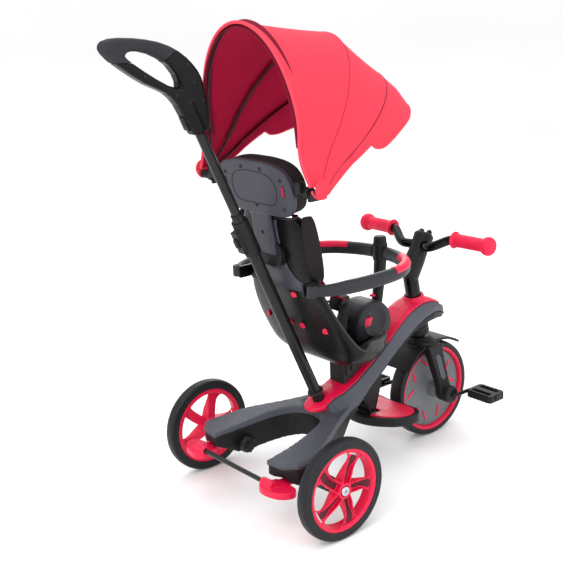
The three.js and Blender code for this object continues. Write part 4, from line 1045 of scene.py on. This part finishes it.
def smoothed(values, passes):
    for _ in range(passes):
        between = (values[:-2] + 2 * values[1:-1] + values[2:]) / 4
        values = np.concatenate([[values[0]], between, [values[-1]]])
    return values


SEAT_WIDTHS = smoothed(SEAT_SAMPLES[:, 3], 30)
SEAT_WALLS = smoothed(SEAT_SAMPLES[:, 4], 30)
SEAT_SQUARENESS = 0.55


def seat_value(column, along):
    return float(np.interp(along, SEAT_SAMPLES[:, 0], column))


def seat_point(across, along, raised, narrowed=0.0, lowered=0.0):
    """A point of the seat: across from -1 to 1, along from 0 to 1, raised towards the sitter."""
    xs, zs = SEAT_SAMPLES[:, 1], SEAT_SAMPLES[:, 2]
    ahead, behind = min(along + 0.01, 1), max(along - 0.01, 0)
    dx, dz = (seat_value(line, ahead) - seat_value(line, behind) for line in (xs, zs))
    length = math.hypot(dx, dz)
    inward_x, inward_z = dz / length, -dx / length
    angle = across * math.pi / 2
    side = math.copysign(abs(math.sin(angle)) ** SEAT_SQUARENESS, across)
    rise = 1 - abs(math.cos(angle)) ** SEAT_SQUARENESS
    half_width = seat_value(SEAT_WIDTHS, along) - narrowed
    lift = raised + rise * max(seat_value(SEAT_WALLS, along) - lowered, 2)
    x, z = seat_value(xs, along) + inward_x * lift, seat_value(zs, along) + inward_z * lift
    return (x, side * half_width, z)


def evened(u):
    """Spreads the steps across the seat so that the tight corners get more of them."""
    side = u * 2 - 1
    return math.copysign(1 - (1 - abs(side)) ** 1.25, side)


def seat_pieces():
    verts, faces, _, _ = sheet(64, 110, lambda u, v, w: seat_point(evened(u), v, w * 4, w * 4))
    shell = make_piece("seat_bucket_shell", verts, faces, SHELL_BLACK, "seat", ["seat_shell"])
    bevelled(shell, 0.8, 60)
    seat_rim()
    seat_padding()
    for side in (-1, 1):
        boss = [(43 + a, 491 + b) for a, b in rounded_box(20, 13, 5, 6)]
        shape = plate(boss, lambda a, b, depth: (a, side * depth, b), 101, 109, 2)
        make_piece(f"ring_boss_{side}", *shape, SHELL_BLACK, "seat")
        for index, (along, across) in enumerate(RED_CAPS):
            red_cap(f"harness_cap_{side}_{index}", side, along, across)
    back_panel()
    bolsters()
    rounded_copy("seat_pommel_block", "seat_pommel", RING_GREY, "seat", 1.5, 5)
    rounded_copy("seat_slider_block", "seat_slider", BLACK, "seat", 1.4, 3)
    rounded_copy("seat_back_bump", "seat_back_cover", BLACK, "seat", 1.2, 5)
    rounded_copy("ring_post_tube", "ring_post", BLACK, "seat", 1.3, 5)
    pommel_details()
    harness()
    button = [(0, 0), (6, 0), (7, 1.2), (6.4, 4), (3.5, 5.2), (0, 5.5)]
    make_piece("post_button", *lathe(button, (321, 0, 392.5), (321, 0, 440), 28), RED, "seat")


def seat_rim():
    """The rolled flange round the shell's open edge."""
    path = [seat_point(1, i / 60, 2, 1) for i in range(61)]
    path += [seat_point(1 - 2 * i / 30, 1, 2, 1) for i in range(1, 30)]
    path += [seat_point(-1, i / 60, 2, 1) for i in range(60, -1, -1)]
    path += [seat_point(-1 + 2 * i / 30, 0, 2, 1) for i in range(1, 30)]
    roll = sweep(spline(path, 300, closed=True), circle(2.9, 14), closed=True)
    make_piece("seat_rim_roll", *roll, RING_GREY, "seat", slot="gloss_black")


def quilt(u, v, columns, rows):
    """Puffed height of a pad sewn in a diamond pattern: 0 on the seams, 1 between them."""
    a = abs(math.sin(math.pi * (u * columns + v * rows)))
    b = abs(math.sin(math.pi * (u * columns - v * rows)))
    return (a * b) ** 0.35


def seat_padding():
    def place(u, v, w):
        across = evened(u)
        along = 0.09 + v * 0.9
        edge = min(u, 1 - u, v, 1 - v)
        roll = min(1.0, edge / 0.05) ** 0.5
        puff = quilt(u, v, 3, 5) * 4 * roll if w else 0
        depth = 7 + w * (4 + 6 * roll + puff)
        x, y, z = seat_point(across * 0.985, along, depth, depth, 4 * w)
        if x > 222 and abs(y) < 42:
            x = 222 - 0.02 * (x - 222)
        return (x, y, z)

    verts, faces, _, uvs = sheet(72, 110, place)
    pad = make_piece("seat_padding", verts, faces, PAD, "seat", ["seat_liner"], uvs=uvs)


RED_CAPS = ((0.65, 0.08), (0.515, 0.02), (0.52, 0.36))


def red_cap(name, side, along, across):
    """A red plug on the outside of the shell where a harness strap is anchored."""
    at = Vector(seat_point(side * across, along, 0))
    inner = Vector(seat_point(side * across * 0.86, along, 16, 14))
    outward = (at - inner).normalized()
    profile = [(0, -2), (7.2, -2), (7.2, 1.6), (6.4, 2.6), (4.4, 3), (3.8, 2.4), (0, 2.4)]
    make_piece(name, *lathe(profile, at, at + outward, 32), RED, "seat")


# Half widths of the violet-grey panel down the seat's back: [share along the seat, half width].
BACK_PANEL = (
    (0.683, 96), (0.70, 90), (0.725, 62), (0.755, 46), (0.80, 38), (0.86, 35), (0.93, 35), (0.985, 37),
)


def across_for(along, y):
    """How far across the seat, from 0 to 1, the shell is y from the middle plane."""
    share = min(abs(y) / seat_value(SEAT_WIDTHS, along), 1.0)
    return math.asin(share ** (1 / SEAT_SQUARENESS)) * 2 / math.pi


def back_panel():
    """The panel behind the headrest's neck, which flares into a lip across the seat's back."""
    low, high = BACK_PANEL[0][0], BACK_PANEL[-1][0]

    def place(u, v, w):
        along = low + (high - low) * v
        half_width = look_up(BACK_PANEL, along) * min(1.0, 0.93 + w * 0.07)
        y = (u * 2 - 1) * half_width
        lip = max(0.0, 1 - v / 0.06)
        edge = max(0.0, 1 - min(u, 1 - u) / 0.05) ** 2
        lift = (2.6 + 5 * lip ** 2 - 1.6 * edge) * w - 1.5 * (1 - w)
        across = math.copysign(across_for(along, y), y)
        return seat_point(across, along, -lift)

    verts, faces, _, _ = sheet(48, 80, place)
    panel = make_piece("seat_back_panel", verts, faces, VIOLET, "seat", slot="gloss_black")
    bevelled(panel, 0.6, 55)


def bolsters():
    """Stuffed side bolsters beside the headrest."""
    for side_name, side in SIDES:
        rings = []
        for step in range(33):
            share = step / 32
            size = math.sin(math.pi * min(max(share, 0.01), 0.99)) ** 0.16
            x, z = 72 - 26 * share, 500 + 138 * share
            rings.append([
                (x + 19 * size * rounded_power(a, 0.8), side * (99 + 9.5 * size * rounded_power(b, 0.8)), z)
                for a, b in circle(1, 28)
            ])
        bolster = make_piece("seat_bolster_" + side_name, *loft(rings), PAD, "seat")


def pommel_details():
    """Raised lips round the pommel's dished sides, and the red harness socket inside each dish."""
    for side in (-1, 1):
        lip = [(290 + a, side * 37.4, 348 + b) for a, b in circle(34, 72)]
        shape = sweep(lip, circle(1.6, 12), closed=True, up=(0, 1, 0))
        make_piece(f"pommel_lip_{side}", *shape, RING_GREY, "seat")
        socket = [(270 + a, 350 + b) for a, b in rounded_box(11, 10, 3.0, 5)]
        shape = plate(socket, lambda a, b, depth: (a + (b - 350) * 0.35, side * depth, b), 30, 37.5, 1.2)
        make_piece(f"harness_socket_{side}", *shape, RED, "seat")


def strap(name, points, half_width, surface):
    """A woven strap carried along a smooth line, its width across the line in Y."""
    shape = sweep(spline(points, 60), rounded_box(half_width, 0.8, 0.72, 3))
    make_piece(name, *shape, surface, "seat")


def harness():
    """Crotch, waist and shoulder straps of the child's harness, which meet at a black lock."""
    lock = [(217 + a, 402 + b) for a, b in rounded_box(13, 16, 6, 6)]
    shape = plate(lock, lambda a, b, depth: (a + (b - 402) * 0.3, depth, b), -20, 20, 4)
    block = make_piece("harness_lock", *shape, BLACK, "seat")
    bevelled(block, 0.8, 50)
    for level in (-1, 0, 1):
        rib = [(level * 7 + a, b) for a, b in rounded_box(1.0, 13, 0.8, 3)]
        shape = plate(rib, lambda a, b, depth: (204.5 + depth + a * 0.3, b, 402 + a), -0.6, 0.6, 0.3)
        make_piece(f"harness_lock_rib_{level}", *shape, BLACK, "seat")
    crotch = [(236, 0, 352), (230, 0, 368), (224, 0, 380), (219, 0, 392)]
    strap("crotch_strap", crotch, 14, BLACK_WEBBING)
    for side in (-1, 1):
        waist = [(214, side * 16, 402), (190, side * 44, 396), (150, side * 82, 378), (122, side * 104, 366)]
        strap(f"waist_strap_{side}", waist, 9, BLACK_WEBBING)
        shoulder = [
            (214, side * 14, 412), (168, side * 30, 440), (110, side * 42, 500), (80, side * 48, 560),
            (62, side * 52, 610), (52, side * 54, 636),
        ]
        strap(f"shoulder_strap_{side}", shoulder, 9, WEBBING)


# ---- Safety ring ----
RING_LINE = (
    (32, 121), (62, 139), (110, 151), (195, 156), (262, 146), (306, 118), (332, 78), (345, 40), (348, 18.5),
)
RING_MIDDLE = RING_TOP - 15
# The part of a ring half that its red pad covers.
PAD_FROM, PAD_TO, PAD_CLEAR_OF_MIDDLE = 232, 330, 78


def ring_section(grow=0.0):
    return rounded_box(11 + grow, 15 + grow, 10.4 + grow, 8)


def tapered_ring_section(share):
    """The bar's section, smaller where it meets the hinge at share 0."""
    size = 0.74 + 0.26 * min(1.0, share / 0.2)
    return [(a * size, b * size) for a, b in ring_section()]


def safety_ring():
    for side_name, side in SIDES:
        path = [(x, side * y, RING_MIDDLE) for x, y in RING_LINE]
        bar = sweep(spline(path, 96), tapered_ring_section)
        eye = lathe(
            [(0, 0), (9, 0), (9.8, 0.8), (9.8, 24.2), (9, 25), (5, 25), (4.6, 23.6), (0, 23.6)],
            (32, side * 121, RING_TOP - 27.5), (32, side * 121, RING_TOP), 40,
        )
        body = "ring_" + side_name
        nodes = ["ring_half_" + side_name]
        half = make_piece("safety_ring_" + side_name, *joined(bar, eye), RING_GREY, body, nodes, weld=False)
        softened(half, RING_GREY, 1.4, 4)
        covered = [
            p for p in spline(path, 200) if PAD_FROM < p[0] < PAD_TO and abs(p[1]) > PAD_CLEAR_OF_MIDDLE
        ]
        cover = [(a, b) for a, b in ring_section(0.9) if b > 2.5]
        cover.sort(key=lambda p: p[0])
        under = [(a * 0.8, b - 3.2) for a, b in reversed(cover)]
        shape = sweep(covered, cover + under)
        pad = make_piece("ring_red_pad_" + side_name, *shape, RED, body)
        bevelled(pad, 0.6, 40)


# ---- Headrest ----
PANEL_OUTLINE = [(0, 205), (60, 202), (97, 190), (115, 168), (118, 138), (108, 110), (92, 97), (45, 94)]


def panel_outline(inset, count=96):
    half = [(y - (inset if y else 0), z - inset if z > 150 else z + inset) for y, z in PANEL_OUTLINE]
    return spline(half + [(-y, z) for y, z in reversed(half[1:])], count, closed=True)


def headrest():
    rounded_copy("headrest_back", "headrest_shell", VIOLET, "headrest", 1.5, 5)
    cushion()
    line = [in_headrest((-1.1, y * 0.62, 149 + (z - 149) * 0.66)) for y, z in panel_outline(4)]
    shape = sweep(line, circle(0.9, 8), closed=True, up=(1, 0, 0))
    make_piece("headrest_panel_groove", *shape, DARK_GAP, "headrest")
    slots = (
        ("strap_slot_edge", rounded_box(4.6, 12.5, 2.2, 5), -1.7, DARK_GAP),
        ("strap_in_slot", rounded_box(3.0, 10.6, 1.4, 4), -2.5, WEBBING),
    )
    for side in (-1, 1):
        for name, outline, back, surface in slots:
            placed = [(side * 92 + a, 150 + b) for a, b in outline]
            shape = plate(placed, lambda a, b, depth: in_headrest((depth, a, b)), back, 0.4, 0.5)
            make_piece(f"{name}_{side}", *shape, surface, "headrest")
    backwards = Vector(in_headrest((-1, 0, 0))) - Vector(in_headrest((0, 0, 0)))
    places = [(0, 112), (-88, 172), (88, 172), (-86, 112), (86, 112), (-30, 190), (30, 190), (0, 52)]
    profile = [(0, -1), (4.4, -1), (4.4, 0.5), (3.6, 0.9), (2.6, 0.2), (0, 0.1)]
    for index, (y, z) in enumerate(places):
        at = Vector(in_headrest((-1 if z > 94 else 0, y, z)))
        make_piece(f"headrest_screw_{index}", *lathe(profile, at, at + backwards, 24), DARK_GAP, "headrest")


def cushion():
    """Quilted pad: puffed between its seams, rolled round the edge and sewn to a border."""
    outline = np.array(panel_outline(1.5, 120))
    middle = np.array([0.0, 149.0])
    rings = []
    for depth, share in ((11.35, 0.97), (13, 0.99), (20, 1.0), (34, 1.0), (40, 0.985), (43.5, 0.95)):
        rings.append([(depth, *(middle + (p - middle) * share)) for p in outline])
    seam = 0.86
    for share in (0.91, seam, 0.82, 0.76, 0.68, 0.6, 0.5, 0.4, 0.3, 0.2, 0.1, 0.02):
        ring = []
        for p in outline:
            y, z = middle + (p - middle) * share
            puff = 46.0 - 2.4 * math.exp(-((share - seam) / 0.02) ** 2)
            if share < seam:
                puff -= 3.0 * math.exp(-(abs(y) - 40) ** 2 / 12.0)
                puff -= 0.66 * (1 - math.cos(math.pi * share))
            ring.append((puff, y, z))
        rings.append(ring)
    rings = [[in_headrest(p) for p in ring] for ring in rings]
    verts, faces = loft(rings)
    uvs = [(y / 1000 + x / 2000, z / 1000) for x, y, z in verts]
    pad = make_piece("headrest_pad", verts, faces, PAD, "headrest", ["headrest_cushion"], uvs=uvs)


# ---- Canopy ----
REAR_BOW = {"angle": -4.5, "height": 313, "half_width": 143, "hub_y": 170}
MIDDLE_BOW = {"angle": 33, "height": 334, "half_width": 156, "hub_y": 176.5}
FRONT_BOW = {"angle": 57, "height": 360, "half_width": 164, "hub_y": 183}
ARCH_SPRING = 110
ARCH_SHOULDER = 0.7
FABRIC_START = 24
CLOTH_START = 16
END_RADIUS = 18.8
END_LIFT = 11.0
FRONT_OVERHANG = 8.5
REAR_OVERHANG = 12
FABRIC_OFFSET = 5.4
FABRIC_THICKNESS = 2.0
PEAK_REACH = 0.6


def arch_point(bow, side, grow, start, degrees=0.0, height=None):
    """A point of a bow's arch: side runs from -1 at the right pivot to 1 at the left pivot."""
    reach = abs(side)
    half_width = bow["half_width"] + grow
    top = (height or bow["height"]) + grow
    if reach > ARCH_SHOULDER:
        share = (1 - reach) / (1 - ARCH_SHOULDER)
        up = start + (ARCH_SPRING - start) * share
        out = half_width + (bow["hub_y"] + grow - half_width) * (1 - share) ** 2
    else:
        angle = math.pi / 2 * (1 - reach / ARCH_SHOULDER)
        up = ARCH_SPRING + (top - ARCH_SPRING) * math.sin(angle)
        out = half_width * math.cos(angle)
    lean = math.radians(bow["angle"] + degrees)
    x, _, z = CANOPY_PIVOT
    return Vector((x + up * math.sin(lean), math.copysign(out, side), z + up * math.cos(lean)))


def fabric_sag(side, share, depth=4.0):
    """How far the cloth between two bows dips inwards, with faint folds gathering near the pivots."""
    sag = depth * 4 * share * (1 - share) * (1 - abs(side) ** 3)
    gather = max(0.0, (abs(side) - 0.55) / 0.45)
    folds = 1.1 * gather * (1 - gather * 0.55) * math.sin(share * math.pi * 5 + 3 * abs(side))
    return sag - folds * math.sin(math.pi * share)


def overhang(bow, side, degrees, most):
    """How far the free edge of the cloth hangs beyond its bow near the pivots."""
    share = min(1.0, max(0.0, (abs(side) - 0.6) / 0.3))
    share = share * share * (3 - 2 * share)
    lean = math.radians(bow["angle"] + degrees)
    return Vector((math.cos(lean), 0, -math.sin(lean))) * most * share


def canopy_panel(name, start, end, bodies, sag, behind=0.0):
    """Cloth between two arches; start and end are (bow, degrees from it)."""
    def place(u, v, w):
        side = u * 2 - 1 or 1e-6
        grow = FABRIC_OFFSET + w * FABRIC_THICKNESS - fabric_sag(side, v, sag)
        first = arch_point(start[0], side, grow, CLOTH_START, start[1])
        first += overhang(start[0], side, start[1], -behind)
        last = arch_point(end[0], side, grow, CLOTH_START, end[1])
        return first.lerp(last, v)

    # The inside faces take the darker crimson, which is painted shade.
    verts, faces, surfaces, uvs = sheet(150, 28, place, (1, 0, 0))
    piece = make_piece(
        "canopy_" + name + "_cloth", verts, faces, (CORAL, CANOPY_INSIDE_SHADE), None, ["canopy_" + name + "_panel"],
        uvs=uvs, surfaces=surfaces,
    )
    hold_on_bows(piece, start, end, bodies)
    declare_cloth(piece)


def hold_on_bows(piece, start, end, bodies):
    """Each point follows the two bows by its angle between them, so the cloth stays on both as it folds."""
    ends = [to_frame(arch_point(bow, 1e-6, 0, FABRIC_START)) for bow, _ in (start, end)]
    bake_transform(piece, *bodies, *ends)
    shares = piece.data.attributes["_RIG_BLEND"].data
    first = start[0]["angle"]
    last = end[0]["angle"]
    pivot = to_frame(CANOPY_PIVOT)
    for index, vertex in enumerate(piece.data.vertices):
        point = vertex.co - pivot
        angle = math.degrees(math.atan2(point.x, point.z))
        shares[index].value = min(1.0, max(0.0, (angle - first) / (last - first)))


def declare_cloth(piece):
    """Reads the cut of the panel from its UVs, as wide as it is round the arch and as long as from bow to
    bow, and does nothing more with it.
    """
    layer = piece.data.uv_layers[0].data
    us = [loop.uv[0] for loop in layer]
    vs = [loop.uv[1] for loop in layer]


def front_cloth():
    """The part in front of the front bow: a band all round, and a peak over the middle of the arch."""
    def place(u, v, w):
        side = u * 2 - 1 or 1e-6
        grow = FABRIC_OFFSET + w * FABRIC_THICKNESS
        first = arch_point(FRONT_BOW, side, grow, CLOTH_START, 0.06)
        hem = arch_point(FRONT_BOW, side, grow, CLOTH_START, 7.6, 384)
        if v <= 0.5:
            return first.lerp(hem, v * 2)
        edge = arch_point(FRONT_BOW, side, grow, CLOTH_START, 7.9, 385)
        peak = arch_point(FRONT_BOW, side, grow, CLOTH_START, 15, 404)
        near_end = max(0.0, (abs(side) - (PEAK_REACH - 0.06)) / 0.06)
        share = math.sqrt(max(0.0, 1 - near_end ** 2)) if near_end < 1 else 0.0
        ripple = 1.4 * math.sin(side * 26) * share * (v * 2 - 1)
        brim = edge.lerp(peak, share) + overhang(FRONT_BOW, side, 7.9, FRONT_OVERHANG)
        brim.z += ripple
        return hem.lerp(brim, v * 2 - 1)

    # The inside faces take the darker crimson, which is painted shade.
    verts, faces, surfaces, uvs = sheet(200, 16, place, (1, 0, 0))
    piece = make_piece(
        "canopy_front_cloth", verts, faces, (CORAL, CANOPY_INSIDE_SHADE), "canopy_front", ["canopy_front_panel"],
        uvs=uvs, surfaces=surfaces,
    )
    declare_cloth(piece)
    return place


ARCH_SIDES = [2 * i / 140 - 1 or 1e-6 for i in range(141)]


def arch_line(bow, grow, start=CLOTH_START):
    return [tuple(arch_point(bow, side, grow, start)) for side in ARCH_SIDES]


def canopy():
    bows()
    rear_bodies, middle_bodies = ("headrest", "canopy_middle"), ("canopy_middle", "canopy_front")
    canopy_panel("rear", (REAR_BOW, -1.5), (MIDDLE_BOW, -0.06), rear_bodies, 2.6, REAR_OVERHANG)
    canopy_panel("middle", (MIDDLE_BOW, 0.06), (FRONT_BOW, -0.06), middle_bodies, 2.2)
    front = front_cloth()
    outside = FABRIC_OFFSET + FABRIC_THICKNESS
    lean = -1.7
    rear_edge = [
        arch_point(REAR_BOW, side, outside - 1.4, CLOTH_START, lean)
        + overhang(REAR_BOW, side, lean, -REAR_OVERHANG)
        for side in ARCH_SIDES
    ]
    cord("canopy_rear_piping", rear_edge, 3.4, 14, PIPING, "headrest")
    for label, bow, body in BOWS[1:]:
        cord(label + "_seam", arch_line(bow, outside), 0.8, 8, SEAM, body)
    hem = [front(i / 200, 1, 0.5) for i in range(201)]
    cord("canopy_front_piping", hem, 1.9, 12, PIPING, "canopy_front")
    canopy_ends()
    brackets()


def cord(name, path, radius, sides, surface, body, replaces=(), slot=None, up=(1, 0, 0)):
    """A round wire, seam or piping along a line of points."""
    shape = sweep([tuple(point) for point in path], circle(radius, sides), up=up)
    make_piece(name, *shape, surface, body, replaces, slot)


def bows():
    """Three wire bows, each with an eye at both pivots and a sleeve that holds the cloth."""
    x, _, z = CANOPY_PIVOT
    eye = [(4.1, -2.4), (8.3, -2.4), (9, -1.7), (9, 1.7), (8.3, 2.4), (4.1, 2.4), (4.1, -2.4)]
    for label, bow, body in BOWS:
        wire = arch_line(bow, 0, start=4)
        cord(label + "_wire", wire, 2.4, 14, STEEL_BLACK, body, ["canopy_" + label], "black_plastic")
        for side in (-1, 1):
            y = side * bow["hub_y"]
            make_piece(f"{label}_eye_{side}", *lathe(eye, (x, y, z), (x, y + 50, z), 32), BLACK, body)
        half_width = 13 if label == "rear_bow" else 6
        section = [(b, a) for a, b in rounded_box(half_width, 0.9, 0.8, 3)]
        shape = sweep(arch_line(bow, 2.2)[16:-16], section, up=(0.84, 0, 0.54))
        make_piece(label + "_sleeve", *shape, SLEEVE, body)


def canopy_ends():
    """Round cloth ends that cover the pivots, with the piping carried round below them."""
    x, z = CANOPY_PIVOT[0] + 2, CANOPY_PIVOT[2] + END_LIFT
    for side_name, side in SIDES:
        dome = [(0, 3.2), (6, 3.0), (12, 2.0), (17, 0.4), (END_RADIUS, -1.2), (17, -2.2), (0, -2.2)]
        shape = lathe(dome, (x, side * 192.5, z), (x, side * 250, z), 48)
        make_piece("canopy_end_" + side_name, *shape, CORAL_PLAIN, "canopy_front")
        front_tangent, rear_tangent = FRONT_BOW["angle"] + 97, REAR_BOW["angle"] + 268
        path = [
            (x + END_RADIUS * math.sin(a), side * (191.5 - 9 * k / 40), z + END_RADIUS * math.cos(a))
            for k, a in enumerate(np.radians(np.linspace(front_tangent - 6, rear_tangent, 41)))
        ]
        cord("canopy_end_piping_" + side_name, path, 2.3, 12, PIPING, "canopy_front", up=(0, 1, 0))


BOWS = (
    ("rear_bow", REAR_BOW, "headrest"), ("middle_bow", MIDDLE_BOW, "canopy_middle"),
    ("front_bow", FRONT_BOW, "canopy_front"),
)


def brackets():
    """The arms on the headrest's sides that carry the bows, each with a collar and a latch."""
    for side_name, side in SIDES:
        rounded_copy("canopy_arm_" + side_name, "canopy_bracket_" + side_name, BLACK, "headrest", 1.0, 3)
        collar = [(8, 0), (10.4, 0), (11, 0.8), (11, 8), (10.2, 9), (8, 9), (8, 0)]
        shape = lathe(collar, (8, side * 120, 696.05), (8, side * 160, 698), 36)
        make_piece("canopy_arm_collar_" + side_name, *shape, BLACK, "headrest")
        block = [(-3 + a, 709 + b) for a, b in rounded_box(8, 11, 3, 4)]
        shape = plate(block, lambda a, b, depth: (a, side * depth, b), 131, 146, 2)
        make_piece("canopy_latch_" + side_name, *shape, BLACK, "headrest")


# ---- Everything ----
for build in (
    frame_pieces, front_wheel, crank_and_pedals, fork_and_steering, brake_and_footrest, push_pole,
    seat_pieces, safety_ring, headrest, canopy,
):
    build()
for wheel_side in SIDES:
    rear_wheel(*wheel_side)


# ---- Camera, floor and light ----
def camera():
    """Behind the tricycle, to its right, a little above the canopy's top, with a slight roll."""
    azimuth, elevation, roll = math.radians(50.7), math.radians(15.96), math.radians(-2.37)
    target = to_frame((55.1, 0, 484.1))
    distance = 2.1806
    level = math.cos(elevation)
    back = Vector((-math.cos(azimuth) * level, -math.sin(azimuth) * level, math.sin(elevation)))
    right = (-back).cross(Vector((0, 0, 1))).normalized()
    up = right.cross(-back)
    cosine, sine = math.cos(roll), math.sin(roll)
    right, up = cosine * right + sine * up, -sine * right + cosine * up
    data = bpy.data.cameras.new("camera")
    data.lens = 66.51
    data.sensor_width = 36
    seen = add_object("camera", data)
    turn = Matrix((right, up, back)).transposed().to_4x4()
    seen.matrix_world = Matrix.Translation(target + back * distance) @ turn
    bpy.context.scene.camera = seen


def floor():
    """A pale seamless floor that rises into a backdrop."""
    half_width = 14
    profile = [(-16, 0), (5, 0), (7, 0.6), (8, 2), (8.4, 4), (8.5, 9)]
    direction = Vector((0.633, 0.774, 0))
    across = Vector((-0.774, 0.633, 0))
    verts = [
        direction * away + across * side * half_width + Vector((0, 0, height))
        for away, height in profile for side in (-1, 1)
    ]
    faces = [(2 * i, 2 * i + 1, 2 * i + 3, 2 * i + 2) for i in range(len(profile) - 1)]
    mesh = bpy.data.meshes.new("floor")
    mesh.from_pydata(verts, [], faces)
    surface, tree, shader = new_material("floor_white")
    tone = ramp(tree, noise(tree, 0.6, 2), [(0.3, colour("F6F6F7")), (0.7, colour("FBFBFB"))])
    tree.links.new(tone, shader.inputs["Base Color"])
    set_values(shader, {"Roughness": 0.85, "Specular IOR Level": 0.1})
    mesh.materials.append(surface)
    ground = add_object("floor", mesh)
    for polygon in mesh.polygons:
        polygon.use_smooth = True


def area_light(name, place, aim_at, size, power):
    data = bpy.data.lights.new(name, "AREA")
    data.shape = "RECTANGLE"
    data.size, data.size_y = size
    data.energy = power
    light = add_object(name, data)
    light.location = place
    towards = Vector(aim_at) - Vector(place)
    light.rotation_euler = towards.to_track_quat("-Z", "Y").to_euler()


def lights():
    """A broad soft key to the camera's left, a fill to its right, top and rim lights, a bright surround."""
    area_light("key", (-2.6, -1.2, 2.8), (0, 0, 0.5), (2.4, 2.4), 60)
    area_light("fill", (1.2, -3.2, 1.6), (0, 0, 0.45), (2.6, 2.0), 24)
    area_light("top", (0.4, 0.6, 3.4), (0, 0, 0.4), (3.0, 3.0), 40)
    area_light("rim", (2.2, 2.4, 1.8), (0, 0, 0.5), (1.6, 2.2), 25)
    world = bpy.data.worlds.new("surround")
    world.use_nodes = True
    background = world.node_tree.nodes["Background"]
    background.inputs["Color"].default_value = (1, 1, 1, 1)
    background.inputs["Strength"].default_value = 1.0
    bpy.context.scene.world = world
    bpy.context.scene.view_settings.view_transform = "Standard"


camera()
floor()
lights()
